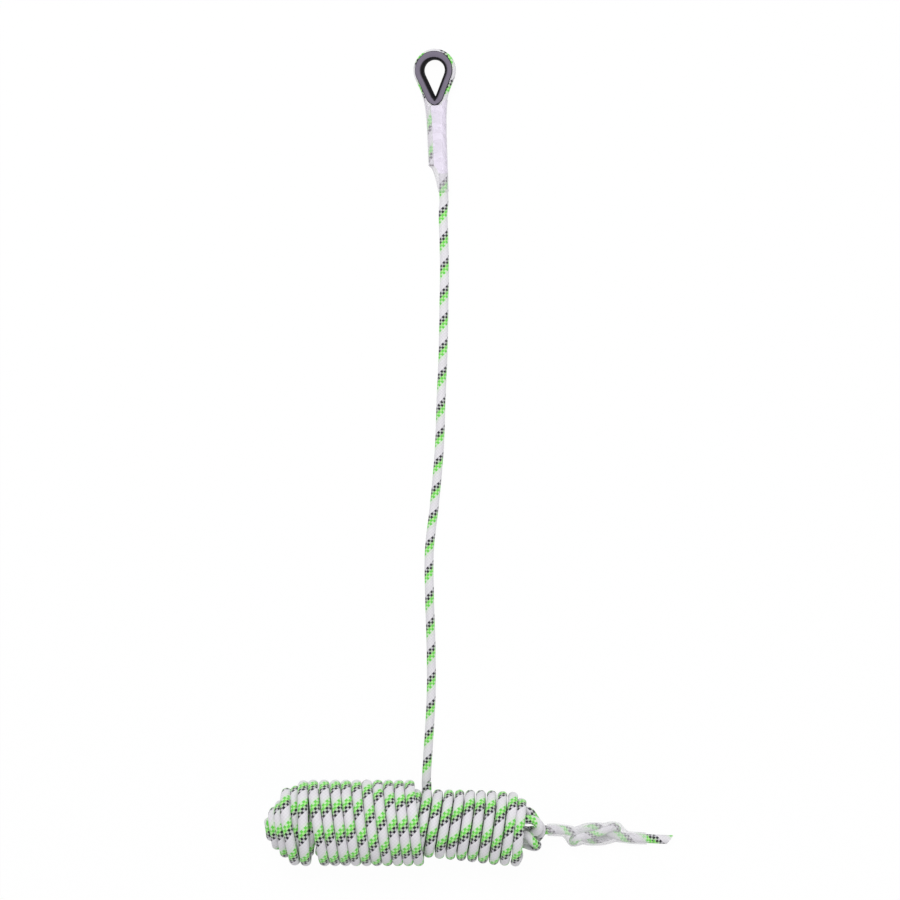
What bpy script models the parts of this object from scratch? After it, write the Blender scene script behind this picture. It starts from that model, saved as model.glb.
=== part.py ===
"""Anchor line of kernmantle rope, for Blender 4.5: a sewn eye round a thimble, and the rest wound into a hank.

Metres, Z up, lying on the floor: Y runs up the line to the eye, and the hank lies across its foot along X.
From the eye the rope runs under the hank, winds over it to the left end (the outer wraps), winds back under
itself to the right end (the inner wraps), folds to and fro inside (the core) and leaves at the right as the
tail, which has a stopper knot under a clear sleeve and a slanted cut end.
"""

import math

import bmesh
import bpy
import numpy as np
from mathutils import Euler, Matrix

# Rope and fits
ROPE_D = 0.011
GAP = 0.0003  # clearance where two pieces touch
FACET_CUT = 0.1 * ROPE_D  # depth of the flat on which the faceted wraps lie
FLOOR_CUTTER = (0.1, 1.0, 1.0)  # depth below the floor, then wide enough for the whole hank
SLEEVE_WALL = 0.0008
LABEL_THICK = 0.0003
THREAD_D = 0.001

# Where the thimble's centre lies, and how the eye lies on the floor
EYE_AT = (-0.0423, 0.4771, 0.0123)
EYE_ROLL = 11.4  # degrees, right side up
EYE_PITCH = 1.85  # degrees, down towards the legs
EYE_YAW = 1.7  # degrees

# Thimble: a channel bent to a teardrop
HOLE_R = 0.0128
TIP_R = 0.001
TIP_AT = 0.0323  # from the hole's centre to that of the tip's rounding
CHANNEL_WALL = 0.0022  # at the bottom of the groove
FLANGE_T = 0.0017
FLANGE_TO = 0.0113  # from the inner face to the flange's edge
FLANGE_ROUND = 0.0005
INNER_BULGE = 0.004  # how far the inner face swells into the hole
CROWN_BULGE = 0.0018
TIP_BULGE = 0.0055

# Sewn legs, label and clear sleeve, as distances from the thimble's centre
LEG_FLARE_FROM = 0.024
SHORT_LEG_END = 0.117
LABEL_END = 0.127
SLEEVE_END = 0.1495
STANDING_LEG_END = 0.152
MOUTH_CLEAR = 0.001  # between the thimble's flanges and what covers the legs
SLEEVE_NECK = 0.022  # length over which the sleeve closes from two ropes to one
SEAM_FROM, SEAM_TO = 0.054, 0.112
SEAM_HALF_W = 0.002
SEAM_STITCH = 0.0022

# Straight run on the floor, from the eye to the hank: chosen points (x, y)
RUN = ((-0.0320, 0.3010), (-0.0310, 0.2690), (-0.0303, 0.2320), (-0.0309, 0.1950), (-0.0320, 0.1330),
       (-0.0345, 0.0715), (-0.0368, 0.0097), (-0.0428, -0.0582), (-0.0490, -0.1150), (-0.0486, -0.1755),
       (-0.0468, -0.2370), (-0.0470, -0.2990))
RUN_Z_FALL = 0.060  # length over which the run comes down to the floor from the sleeve

# Hank
FOOT_X = -0.0523  # where the run goes under the hank
FOOT_Y = -0.4000
HANK_Y = -0.4452
HANK_DRIFT = -0.074  # sideways drift of the right part, metre per metre
DRIFT_FROM = -0.060
OUTER_HALF_W, OUTER_HALF_H = 0.0473, 0.0405  # to the rope's centre line
OUTER_X = -0.0614
OUTER_TURNS = 10
OUTER_PITCH = 0.01275
OUTER_LEAN = 0.0115
OUTER_LEAN_MORE = 0.0002  # how much more each turn leans than the one before
# The turns that close the left end: front x, back x, how far the top bows, then half width and half height at
# the front and at the back
END_TURNS = ((-0.1993, -0.2025, 0.0, (0.0473, 0.0405), (0.0465, 0.0405)),
             (-0.2131, -0.2228, -0.0046, (0.0465, 0.0385), (0.0373, 0.0385)),
             (-0.2245, -0.2305, -0.0023, (0.0370, 0.0298), (0.0285, 0.0298)),
             (-0.2340, -0.2378, -0.0013, (0.0275, 0.0212), (0.0200, 0.0212)),
             (-0.2420, -0.2445, -0.0010, (0.0170, 0.0122), (0.0102, 0.0122)))
END_FACE_X = -0.2060  # closed end of the cup that stands for the hidden turns
HIDDEN_TO_X = OUTER_X - 0.0230  # open end of that cup
HIDDEN_TAPER_W, HIDDEN_TAPER_H = 0.0084, 0.0075
BEVEL = 0.004  # of the cup's edges
CUP_SIDES = 28
INNER_X = -0.0495
INNER_TURNS = 9
INNER_PITCH = 0.01325
INNER_LEAN = 0.0117
INNER_LEAN_LESS = 0.00015
INNER_HALF_W = 0.0400
INNER_TOP = 0.0720  # centre line of the inner wraps' tops at the right
INNER_SWELL_TO = 0.030
LAST_DRAWN_IN = 0.0080  # how much narrower the last inner turn gets at its back
CORE_SPACING = 0.0122
CORE_CLEAR = 0.028  # from the cup's closed end to where the core's left bights start to bend
CORE_IN_X = 0.040
CORE_OUT_X = -0.015  # where the first run turns back
CORE_TOP_X = 0.045  # right end of the uppermost runs, under the last wraps
BIGHT_X = 0.0750  # where the bight that shows at the right starts to bend
LOBE_X = 0.0765  # the same of the one beside it
POINTS_A_TURN = 24
DIVE_EARLY = 3  # points of the last turn that are left out, as the rope dives into the left end

# Tail
TAIL_START = (0.0803, -0.4556, 0.0327)
TAIL_IN = ((0.0990, -0.4560, 0.0290), (0.1080, -0.4567, 0.0200))
KNOT_AT = (0.1524, -0.4624, 0.0149)
KNOT_D = 0.0088  # the rope is squeezed where it is knotted
KNOT_REACH = 0.034  # of the knotted part, each way along the rope
TAIL_STEP = 0.0035  # between points of the tail's centre line
# The overhand knot's chosen points from its middle: in, round the tail, back over itself, round the rope, out
KNOT = ((-0.0357, 0.0046, 0.0004), (-0.0287, 0.0032, 0.0008), (-0.0223, 0.0010, 0.0008), (-0.0163, -0.0030, -0.0003),
        (-0.0094, -0.0066, -0.0036), (-0.0008, -0.0090, -0.0066), (0.0070, -0.0089, -0.0082),
        (0.0149, -0.0070, -0.0090), (0.0212, -0.0045, -0.0092), (0.0265, -0.0012, -0.0090), (0.0295, 0.0028, -0.0066),
        (0.0285, 0.0072, -0.0022), (0.0242, 0.0097, 0.0028), (0.0187, 0.0089, 0.0062), (0.0120, 0.0058, 0.0068),
        (0.0043, 0.0029, 0.0052), (-0.0034, 0.0009, 0.0050), (-0.0099, 0.0000, 0.0070), (-0.0153, -0.0017, 0.0098),
        (-0.0198, -0.0050, 0.0099), (-0.0230, -0.0086, 0.0052), (-0.0246, -0.0099, -0.0016),
        (-0.0246, -0.0081, -0.0068), (-0.0224, -0.0044, -0.0090), (-0.0177, -0.0002, -0.0092),
        (-0.0124, 0.0029, -0.0078), (-0.0072, 0.0056, -0.0058), (-0.0009, 0.0075, -0.0048), (0.0055, 0.0080, -0.0046),
        (0.0118, 0.0063, -0.0044), (0.0171, 0.0033, -0.0032), (0.0222, 0.0002, 0.0002), (0.0281, -0.0019, 0.0014),
        (0.0357, -0.0037, -0.0010), (0.0436, -0.0049, -0.0036))
TAIL_OUT = ((0.2060, -0.4680, 0.0088), (0.2150, -0.4687, 0.0082), (0.2262, -0.4692, 0.0082))
TAIL_SLEEVE = (0.0964, 0.2185)
TAIL_SLEEVE_R = 0.0077
END_LENGTH = 0.0210
CUT_ANGLE = 36.0
SHEATH_WALL = 0.0013
CORD_R = 0.00125
CORDS_ROUND = 6

ROPE_R = ROPE_D / 2
SNUG_R = ROPE_R + GAP
GROOVE_R = ROPE_R + 0.0005  # the rope is a little slack in the groove
THIMBLE_HALF_T = GROOVE_R + FLANGE_T
ROPE_SEAT = CHANNEL_WALL + GROOVE_R  # from the thimble's inner face to the rope's centre line
FLAT_Z = ROPE_R - FACET_CUT
HANK_Z = FLAT_Z + OUTER_HALF_H
CLOSE = ROPE_D + 0.0005  # between centre lines of turns that lie side by side


def clear_scene():
    for obj in list(bpy.data.objects):
        bpy.data.objects.remove(obj)


def new_collection(name):
    made = bpy.data.collections.new(name)
    bpy.context.scene.collection.children.link(made)
    return made


def paint(name, color, roughness, alpha=1.0):
    made = bpy.data.materials.new(name)
    made.use_nodes = True
    shader = made.node_tree.nodes["Principled BSDF"]
    shader.inputs["Base Color"].default_value = (*color, 1.0)
    shader.inputs["Roughness"].default_value = roughness
    shader.inputs["Metallic"].default_value = 0.0
    shader.inputs["Alpha"].default_value = alpha
    return made


def add(name, data, material, parent):
    made = bpy.data.objects.new(name, data)
    made.data.materials.append(material)
    made.parent = parent
    PIECES.objects.link(made)
    return made


def add_empty(name, matrix, parent=None):
    made = bpy.data.objects.new(name, None)
    made.empty_display_size = 0.03
    made.parent = parent
    made.matrix_local = matrix
    PIECES.objects.link(made)
    return made


def even(path, step):
    """The same path with points about one step apart."""
    path = np.asarray(path, float)
    along = np.concatenate([[0], np.cumsum(np.linalg.norm(np.diff(path, axis=0), axis=1))])
    count = max(2, round(along[-1] / step) + 1)
    at = np.linspace(0, along[-1], count)
    return np.stack([np.interp(at, along, path[:, axis]) for axis in range(3)], 1)


def smooth(points, step):
    """Points a step apart on a smooth curve through the chosen ones."""
    p = np.asarray(points, float)
    p = np.vstack([2 * p[0] - p[1], p, 2 * p[-1] - p[-2]])
    t = np.linspace(0, 1, 16, endpoint=False)[:, None]
    fine = []
    for a, b, c, d in zip(p, p[1:], p[2:], p[3:]):
        fine.append(0.5 * (2 * b + (c - a) * t + (2 * a - 5 * b + 4 * c - d) * t**2 + (3 * b - a - 3 * c + d) * t**3))
    return even(np.vstack([*fine, p[-2:-1]]), step)


def bridge(start, start_pull, end, end_pull, count):
    """Points of a curve that leaves start along start_pull and comes into end along end_pull, without the ends."""
    t = np.linspace(0, 1, count + 2)[1:-1, None]
    start, start_pull, end, end_pull = map(np.asarray, (start, start_pull, end, end_pull))
    return ((2 * t**3 - 3 * t**2 + 1) * start + (t**3 - 2 * t**2 + t) * start_pull
            + (3 * t**2 - 2 * t**3) * end + (t**3 - t**2) * end_pull)


def ease(value):
    value = min(1.0, max(0.0, value))
    return value * value * (3 - 2 * value)


def length_of(path):
    return float(np.linalg.norm(np.diff(path, axis=0), axis=1).sum())


def least_gap(path, diameter):
    """How near the tube comes to itself, away from its own bends, measured between points 3 mm apart."""
    fine = even(path, 0.003)
    skip = round(1.7 * diameter / 0.003)
    least = min(np.linalg.norm(fine[i + skip:] - fine[i], axis=1).min() for i in range(len(fine) - skip))
    return float(least) - diameter


def tube(name, path, material, parent, diameter=ROPE_D, sides=8, scales=None):
    curve = bpy.data.curves.new(name, "CURVE")
    curve.dimensions = "3D"
    curve.bevel_depth = diameter / 2
    curve.bevel_resolution = (sides - 4) // 2
    curve.use_fill_caps = True
    spline = curve.splines.new("POLY")
    spline.points.add(len(path) - 1)
    for i, point in enumerate(path):
        spline.points[i].co = (*point, 1.0)
        spline.points[i].radius = 1.0 if scales is None else scales[i]
    spline.use_smooth = True
    return add(name, curve, material, parent)


def as_mesh(obj):
    """Turns a curve object into a mesh of the same name with its caps welded on, so that it can be cut."""
    name, matrix, parent, material = obj.name, obj.matrix_local.copy(), obj.parent, obj.active_material
    data = bpy.data.meshes.new_from_object(obj.evaluated_get(bpy.context.evaluated_depsgraph_get()))
    bpy.data.objects.remove(obj)
    bm = bmesh.new()
    bm.from_mesh(data)
    bmesh.ops.remove_doubles(bm, verts=bm.verts, dist=0.00001)
    bmesh.ops.recalc_face_normals(bm, faces=bm.faces)
    bm.to_mesh(data)
    bm.free()
    data.materials.clear()
    made = add(name, data, material, parent)
    made.matrix_local = matrix
    return made


def loft(name, rings, material, parent, closed):
    """A skin over rings of points. It closes on itself if closed, and has flat ends if not."""
    bm = bmesh.new()
    rows = [[bm.verts.new(point) for point in ring] for ring in rings]
    pairs = list(zip(rows, rows[1:]))
    if closed:
        pairs.append((rows[-1], rows[0]))
    else:
        bm.faces.new(rows[0])
        bm.faces.new(rows[-1])
    for one, two in pairs:
        for i in range(len(one)):
            bm.faces.new((one[i - 1], one[i], two[i], two[i - 1]))
    bmesh.ops.recalc_face_normals(bm, faces=bm.faces)
    data = bpy.data.meshes.new(name)
    bm.to_mesh(data)
    bm.free()
    data.shade_smooth()
    data.set_sharp_from_angle(angle=math.radians(40))
    return add(name, data, material, parent)


def cutter_box(name, size, matrix):
    """A box that a Boolean takes away. Its bottom corner at its matrix's origin is the cut's own plane, x = 0."""
    bm = bmesh.new()
    bmesh.ops.create_cube(bm, size=1.0)
    bmesh.ops.translate(bm, verts=bm.verts, vec=(0.5, 0, 0))
    bmesh.ops.scale(bm, verts=bm.verts, vec=size)
    data = bpy.data.meshes.new(name)
    bm.to_mesh(data)
    bm.free()
    made = bpy.data.objects.new(name, data)
    made.matrix_world = matrix
    made.hide_render = True
    made.display_type = "WIRE"
    CUTTERS.objects.link(made)
    return made


def cut(obj, cutter):
    modifier = obj.modifiers.new(cutter.name, "BOOLEAN")
    modifier.operation = "DIFFERENCE"
    modifier.solver = "EXACT"
    modifier.object = cutter


# Eye


def eye_matrix():
    turn = Euler((math.radians(EYE_PITCH), math.radians(-EYE_ROLL), math.radians(EYE_YAW)))
    return Matrix.Translation(EYE_AT) @ turn.to_matrix().to_4x4()


def tip_angle():
    """Half the angle at the teardrop's tip, in radians."""
    return math.asin((HOLE_R - TIP_R) / TIP_AT)


def make_thimble(parent):
    slope = tip_angle()
    steps = []
    for i in range(25):
        turn = -slope + (math.pi + 2 * slope) * i / 24
        steps.append((0.0, 0.0, HOLE_R, turn))
    for i in range(7):
        turn = math.pi + slope + (math.pi - 2 * slope) * i / 6
        steps.append((0.0, -TIP_AT, TIP_R, turn))
    rings = []
    for x, y, radius, turn in steps:
        crown = max(0.0, math.sin(turn)) ** 2
        at_tip = 1.0 if radius == TIP_R else 0.0
        bulge = INNER_BULGE + (CROWN_BULGE - INNER_BULGE) * crown + (TIP_BULGE - INNER_BULGE) * at_tip
        ring = []
        for out, z in thimble_section(bulge):
            ring.append((x + (radius + out) * math.cos(turn), y + (radius + out) * math.sin(turn), z))
        rings.append(ring)
    return loft("thimble", rings, paint("thimble", (0.17, 0.15, 0.21), 0.45), parent, True)


def thimble_section(bulge):
    """Section of the channel as (distance outwards, height): flange, swollen inner face, flange and groove."""
    section = [(FLANGE_TO - FLANGE_ROUND, THIMBLE_HALF_T)]
    for i in range(7):
        angle = math.radians(90 - 30 * i)
        section.append((bulge * (1 - math.cos(angle)), THIMBLE_HALF_T * math.sin(angle)))
    section.append((FLANGE_TO - FLANGE_ROUND, -THIMBLE_HALF_T))
    section.append((FLANGE_TO, -THIMBLE_HALF_T + FLANGE_ROUND))
    section.append((FLANGE_TO, -GROOVE_R))
    for i in range(7):
        angle = math.radians(-90 - 30 * i)
        section.append((ROPE_SEAT + GROOVE_R * math.cos(angle), GROOVE_R * math.sin(angle)))
    section.append((FLANGE_TO, GROOVE_R))
    section.append((FLANGE_TO, THIMBLE_HALF_T - FLANGE_ROUND))
    return section


def leg_offset(down):
    """Distance of each leg's centre line from the eye's axis, at this distance below the thimble's centre."""
    slope = tip_angle()
    seat_r = HOLE_R + ROPE_SEAT
    if down < LEG_FLARE_FROM:
        return seat_r / math.cos(slope) - down * math.tan(slope)
    apart = (ROPE_D + GAP) / 2
    start = seat_r / math.cos(slope) - LEG_FLARE_FROM * math.tan(slope)
    fade = (start - apart) / math.tan(slope)
    return apart + (start - apart) * math.exp(-(down - LEG_FLARE_FROM) / fade)


def eye_path():
    """Centre line of the eye's rope, from the short leg's end round the thimble to the standing leg's end."""
    slope = tip_angle()
    seat_r = HOLE_R + ROPE_SEAT
    short = np.arange(SHORT_LEG_END, seat_r * math.sin(slope), -0.004)
    standing = np.arange(seat_r * math.sin(slope) + 0.004, STANDING_LEG_END, 0.004)
    path = [(-leg_offset(down), -down, 0.0) for down in short]
    for i in range(33):
        turn = math.pi + slope - (math.pi + 2 * slope) * i / 32
        path.append((seat_r * math.cos(turn), seat_r * math.sin(turn), 0.0))
    path += [(leg_offset(down), -down, 0.0) for down in standing]
    path.append((leg_offset(STANDING_LEG_END), -STANDING_LEG_END, 0.0))
    return even(path, 0.006)


def mouth(x):
    """How far below the thimble's centre a cover of the legs starts, this far from the eye's axis."""
    edge = FLANGE_TO + TIP_R + MOUTH_CLEAR
    return TIP_AT + math.sqrt(edge**2 - min(x, edge) ** 2)


def leg_ring(share, radius, end, angles):
    """Points round both legs at this share of the way from the cover's mouth to its end."""
    ring = []
    for angle in angles:
        right = math.cos(angle) >= 0
        outwards = abs(math.cos(angle))
        start = mouth(leg_offset(TIP_AT + FLANGE_TO) + radius * outwards if outwards > 0.2 else 0.0)
        down = start + (end - start) * share
        offset = leg_offset(down)
        closing = 2 * offset * ease((down - SHORT_LEG_END - 0.001) / SLEEVE_NECK)
        centre = offset if right else -offset + closing
        slope = (offset - leg_offset(down + 0.001)) / 0.001
        ring.append((centre + radius * math.hypot(1, slope) * math.cos(angle), -down, radius * math.sin(angle)))
    return ring


def make_sleeve(parent):
    angles = [math.radians(9 + 18 * i) for i in range(20)]
    inner_r = SNUG_R + LABEL_THICK + GAP
    shares = [ease(i / 4) * 0.16 for i in range(4)] + [0.16 + 0.84 * i / 11 for i in range(12)]
    outer = [leg_ring(share, inner_r + SLEEVE_WALL, SLEEVE_END, angles) for share in shares]
    inner = [leg_ring(share, inner_r, SLEEVE_END, angles) for share in reversed(shares)]
    clear = paint("eye_sleeve", (0.86, 0.84, 0.88), 0.2, 0.35)
    return loft("eye_sleeve", outer + inner, clear, parent, True)


def make_label(parent):
    """A bare printed-film label: from the short leg's crest across the standing leg and round under it."""
    angles = [math.radians(-81 + 18 * i) for i in range(10)] + [math.radians(99)]
    shares = [(i / 10) ** 1.5 for i in range(11)]
    rings = []
    for share in shares:
        outer = leg_ring(share, SNUG_R + LABEL_THICK, LABEL_END, angles)
        inner = leg_ring(share, SNUG_R, LABEL_END, angles)
        rings.append(outer + inner[::-1])
    return loft("eye_label", rings, paint("eye_label", (0.84, 0.79, 0.91), 0.35), parent, False)


def make_seam(name, side, parent):
    """A zigzag of thread in the valley between the legs, on the upper side (1) or the under side (-1)."""
    ride = ROPE_R + THREAD_D / 2 + GAP
    count = round((SEAM_TO - SEAM_FROM) / SEAM_STITCH)
    path = []
    for i in range(count + 1):
        down = SEAM_FROM + SEAM_STITCH * i
        x = SEAM_HALF_W * (1 if i % 2 else -1)
        path.append((x, -down, side * math.sqrt(ride**2 - (leg_offset(down) - abs(x)) ** 2)))
    thread = paint(name, (0.80, 0.79, 0.76), 0.7)
    return tube(name, path, thread, parent, diameter=THREAD_D, sides=6)


# Straight run


def run_path(eye):
    """Centre line of the straight run, from the standing leg to the hank's foot, on the floor."""
    start = np.array(eye @ Matrix.Translation((leg_offset(STANDING_LEG_END), -STANDING_LEG_END - GAP, 0))
                     .to_translation())
    down = np.array((eye.to_3x3() @ Matrix.Identity(3).col[1]) * -1)
    points = [start + down * ROPE_D]
    for x, y in RUN:
        fall = ease((start[1] - y) / RUN_Z_FALL)
        points.append((x, y, start[2] + (ROPE_R - start[2]) * fall))
    points.append((FOOT_X, FOOT_Y + ROPE_D + GAP, ROPE_R))
    path = np.vstack([start, smooth(points, 0.0225), (FOOT_X, FOOT_Y + GAP, ROPE_R)])
    path[:, 2] = np.maximum(path[:, 2], ROPE_R)
    return path


# Hank


def hank_y(x):
    return HANK_Y + HANK_DRIFT * max(0.0, x - DRIFT_FROM)


def on_turn(x, angle, half_w, half_h, y, z):
    """A point of a wrap: the angle runs from under the hank up its front, over the top and down its back."""
    return np.array((x, y - half_w * math.sin(angle), z - half_h * math.cos(angle)))


def outer_turn(i):
    """Outer turn i: front x, back x, bow of its top, and its half sizes at the front and at the back."""
    if i >= OUTER_TURNS:
        return END_TURNS[i - OUTER_TURNS]
    front = OUTER_X - OUTER_PITCH * i
    size = (OUTER_HALF_W, OUTER_HALF_H)
    return front, front - OUTER_LEAN - OUTER_LEAN_MORE * i, 0.0, size, size


def blend(one, two, share):
    return tuple(a + (b - a) * share for a, b in zip(one, two))


def wrap_path(turn_of, count, point_of):
    """Turns 0 to count: over the top from front to back, then under to the next turn's front."""
    half = POINTS_A_TURN // 2
    path = []
    for i in range(count):
        front, back, bow, front_size, back_size = turn_of(i)
        for k in range(half + 1):
            angle = math.radians(90) + math.pi * k / half
            share = (1 - math.sin(angle)) / 2
            x = front + (back - front) * share + 4 * bow * share * (1 - share)
            path.append(point_of(x, angle, blend(front_size, back_size, share)))
        if i == count - 1:
            break
        next_front, _, _, next_size, _ = turn_of(i + 1)
        for k in range(1, half):
            angle = math.radians(270) + math.pi * k / half
            share = (1 + math.sin(angle)) / 2
            path.append(point_of(back + (next_front - back) * share, angle, blend(back_size, next_size, k / half)))
    return path


def outer_path():
    """The outer wraps, from the foot on the floor to where the rope dives into the left end."""
    foot = [(FOOT_X, FOOT_Y, ROPE_R), (FOOT_X, FOOT_Y - ROPE_D, ROPE_R),
            (FOOT_X - 0.0014, FOOT_Y - 2 * ROPE_D, FLAT_Z), (FOOT_X - 0.0032, HANK_Y + 0.010, FLAT_Z)]
    for k in range(6):
        angle = math.radians(15 * k)
        x = FOOT_X - 0.005 + (OUTER_X - FOOT_X + 0.005) * math.sin(angle)
        foot.append(on_turn(x, angle, OUTER_HALF_W, OUTER_HALF_H, HANK_Y, HANK_Z))
    turns = wrap_path(outer_turn, OUTER_TURNS + len(END_TURNS),
                      lambda x, angle, size: on_turn(x, angle, *size, HANK_Y, HANK_Z))
    turns = turns[:-DIVE_EARLY]
    dive = np.array((END_FACE_X - GAP - ROPE_D, HANK_Y + 0.004, HANK_Z - 0.002))
    inside = bridge(turns[-1], (0.002, 0.003, -0.020), dive, (0.028, 0, 0), 5)
    return np.vstack([foot, turns, inside, [dive, dive + (ROPE_D / 2, 0, 0), dive + (ROPE_D, 0, 0)]])


def inner_section(x):
    """Half width, half height and centre height of the inner wraps at this x."""
    swell = min(1.0, max(0.0, (x - OUTER_X) / (INNER_SWELL_TO - OUTER_X)))
    under_outer = OUTER_HALF_W - CLOSE
    half_w = under_outer + (INNER_HALF_W - under_outer) * swell
    last = INNER_X + INNER_PITCH * (INNER_TURNS - 1)
    half_w -= LAST_DRAWN_IN * ease((x - last) / 0.010)
    top = HANK_Z + OUTER_HALF_H - CLOSE
    top += (INNER_TOP - top) * swell
    bottom = FLAT_Z + CLOSE * (1 - ease((x - INNER_X) / (2.5 * INNER_PITCH)))
    return half_w, (top - bottom) / 2, (top + bottom) / 2


def on_inner(x, angle):
    half_w, half_h, z = inner_section(x)
    return on_turn(x, angle, half_w, half_h, hank_y(x), z)


def inner_turn(i):
    """Inner turn i, in the same form as an outer one. Its sizes come from where it lies."""
    front = INNER_X + INNER_PITCH * (i - 1)
    return front, front + INNER_LEAN - INNER_LEAN_LESS * i, 0.0, (), ()


def inner_path():
    """The inner wraps, from the hidden ones' face to where the rope turns in to the core."""
    face_x = HIDDEN_TO_X + GAP
    half_w, half_h = OUTER_HALF_W - CLOSE, OUTER_HALF_H - CLOSE
    lead = []
    for x, angle in ((0, 40), (0.5, 40), (1, 40), (1.38, 41.4), (1.71, 45.3), (1.92, 51.1), (2, 58), (2, 74)):
        lead.append(on_turn(face_x + x * ROPE_D, math.radians(angle), half_w, half_h, HANK_Y, HANK_Z))
    turns = wrap_path(inner_turn, INNER_TURNS + 1, lambda x, angle, _: on_inner(x, angle))
    entry = np.array((CORE_IN_X + ROPE_D, hank_y(CORE_IN_X), HANK_Z - 2 * CORE_SPACING))
    low = [on_inner(turns[-1][0] + 0.0006, math.radians(288)), on_inner(turns[-1][0] + 0.0006, math.radians(304))]
    turn_in = [*low, *bridge(low[-1], (0.004, -0.022, -0.015), entry, (-0.026, 0, 0), 5)]
    out = [entry, entry - (ROPE_D / 2, 0, 0), entry - (ROPE_D, 0, 0)]
    return np.vstack([lead, turns, turn_in, out])


def make_hidden_wraps(parent):
    """The hidden wraps: a plain cup under the outer ones. The last outer turn dives into its closed end."""
    outer_w, outer_h = OUTER_HALF_W - SNUG_R - GAP, OUTER_HALF_H - SNUG_R - GAP
    inner_w, inner_h = outer_w - ROPE_D, outer_h - ROPE_D
    tapered_w, tapered_h = outer_w - HIDDEN_TAPER_W, outer_h - HIDDEN_TAPER_H
    floor_x = END_FACE_X + ROPE_D
    shoulder_x = floor_x + FACET_CUT
    stations = [(floor_x, inner_w - BEVEL, inner_h - BEVEL), (floor_x + BEVEL, inner_w, inner_h),
                (HIDDEN_TO_X, inner_w, inner_h), (HIDDEN_TO_X, outer_w, outer_h),
                (shoulder_x + BEVEL, outer_w, outer_h), (shoulder_x, tapered_w, tapered_h),
                (END_FACE_X + BEVEL, tapered_w, tapered_h), (END_FACE_X, tapered_w - BEVEL, tapered_h - BEVEL)]
    rings = []
    for x, half_w, half_h in stations:
        ring = [on_turn(x, 2 * math.pi * i / CUP_SIDES, half_w, half_h, HANK_Y, HANK_Z) for i in range(CUP_SIDES)]
        rings.append(ring)
    return loft("hidden_wraps", rings, rope_paint("hidden_wraps"), parent, False)


def core_path():
    """The core: the rope folded to and fro along the hank on a square grid, a bight at each end of each run."""
    left = END_FACE_X + CORE_CLEAR
    runs = (  # side and height in grid steps, left end, right end
        (0, -2, CORE_OUT_X, CORE_IN_X - 2 * ROPE_D), (-1, -2, CORE_OUT_X, LOBE_X), (-1.4, -1, left + 0.006, LOBE_X),
        (-1, 1, left + 0.006, CORE_TOP_X), (1, 1, left, CORE_TOP_X), (1.65, 0, left, BIGHT_X),
        (-0.2, 0, left, BIGHT_X), (0, -1, left, TAIL_START[0] - 2 * ROPE_D))
    entry = np.array((CORE_IN_X - GAP, hank_y(CORE_IN_X), HANK_Z - 2 * CORE_SPACING))
    path = [entry, entry - (ROPE_D, 0, 0)]
    for i, (side, level, x_left, x_right) in enumerate(runs):
        leftwards = i % 2 == 0
        first, last = (x_right, x_left) if leftwards else (x_left, x_right)
        stops = [first, last]
        if min(first, last) < DRIFT_FROM < max(first, last):
            stops.insert(1, DRIFT_FROM)
        for x in stops:
            path.append((x, hank_y(x) + side * CORE_SPACING, HANK_Z + level * CORE_SPACING))
        if i == len(runs) - 1:
            break
        next_side, next_level = runs[i + 1][:2]
        out = -1 if leftwards else 1
        here = np.array(path[-1])
        across = np.array((0, next_side - side, next_level - level)) * CORE_SPACING
        reach = np.linalg.norm(across) / 2
        for k in range(1, 6):
            turn = math.pi * k / 6
            path.append(here + across * (1 - math.cos(turn)) / 2 + np.array((out * reach * math.sin(turn), 0, 0)))
    exit_at = np.array(TAIL_START) - (GAP, 0, 0)
    return np.vstack([path, exit_at - (ROPE_D, 0, 0), exit_at])


# Tail


def tail_path():
    """Centre line of the tail, from where it leaves the hank, through its knot, to the bare end."""
    knot = np.array(KNOT) + KNOT_AT
    straight = np.array(TAIL_START) + (ROPE_D, 0, 0)
    return np.vstack([TAIL_START, even(smooth([straight, *TAIL_IN, *knot, *TAIL_OUT], 0.001), TAIL_STEP)])


def squeeze(path):
    """How much of the rope's diameter is left at each point of the tail."""
    share = KNOT_D / ROPE_D
    return [1 - (1 - share) * ease((KNOT_REACH - abs(x - KNOT_AT[0])) / 0.012) for x in path[:, 0]]


def make_tail_sleeve(path, parent):
    """A clear sleeve shrunk over the tail: each ring is the outline of the rope that passes there."""
    fine = even(path, 0.001)
    radii = np.interp(np.arange(len(fine)), np.linspace(0, len(fine) - 1, len(path)), squeeze(path)) * ROPE_R
    count, sides = 22, 16
    step = (TAIL_SLEEVE[1] - TAIL_SLEEVE[0]) / (count - 1)
    centres, outlines = [], []
    for i in range(count):
        x = TAIL_SLEEVE[0] + step * i
        off = np.maximum(0, np.abs(fine[:, 0] - x) - step)
        here = off < radii
        rope = fine[here]
        reach = np.sqrt(radii[here] ** 2 - off[here] ** 2)
        centre = (rope[:, 1:].min(0) + rope[:, 1:].max(0)) / 2
        outline = []
        for k in range(sides):
            angle = 2 * math.pi * k / sides
            outward = np.array((math.cos(angle), math.sin(angle)))
            outline.append(float(((rope[:, 1:] - centre) @ outward + reach).max()) + 3 * GAP)
        centres.append(centre)
        outlines.append(np.maximum(outline, TAIL_SLEEVE_R - SLEEVE_WALL))
    rings = []
    for wall, order in ((SLEEVE_WALL, range(count)), (0.0, reversed(range(count)))):
        for i in order:
            ring = []
            for k in range(sides):
                angle = 2 * math.pi * k / sides
                radius = (outlines[i][k] + wall) / math.cos(math.pi / sides)
                y = centres[i][0] + radius * math.cos(angle)
                z = max(centres[i][1] + radius * math.sin(angle), SLEEVE_WALL - wall)
                ring.append((TAIL_SLEEVE[0] + step * i, y, z))
            rings.append(ring)
    return loft("tail_sleeve", rings, paint("tail_sleeve", (0.86, 0.84, 0.88), 0.2, 0.35), parent, True)


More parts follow.
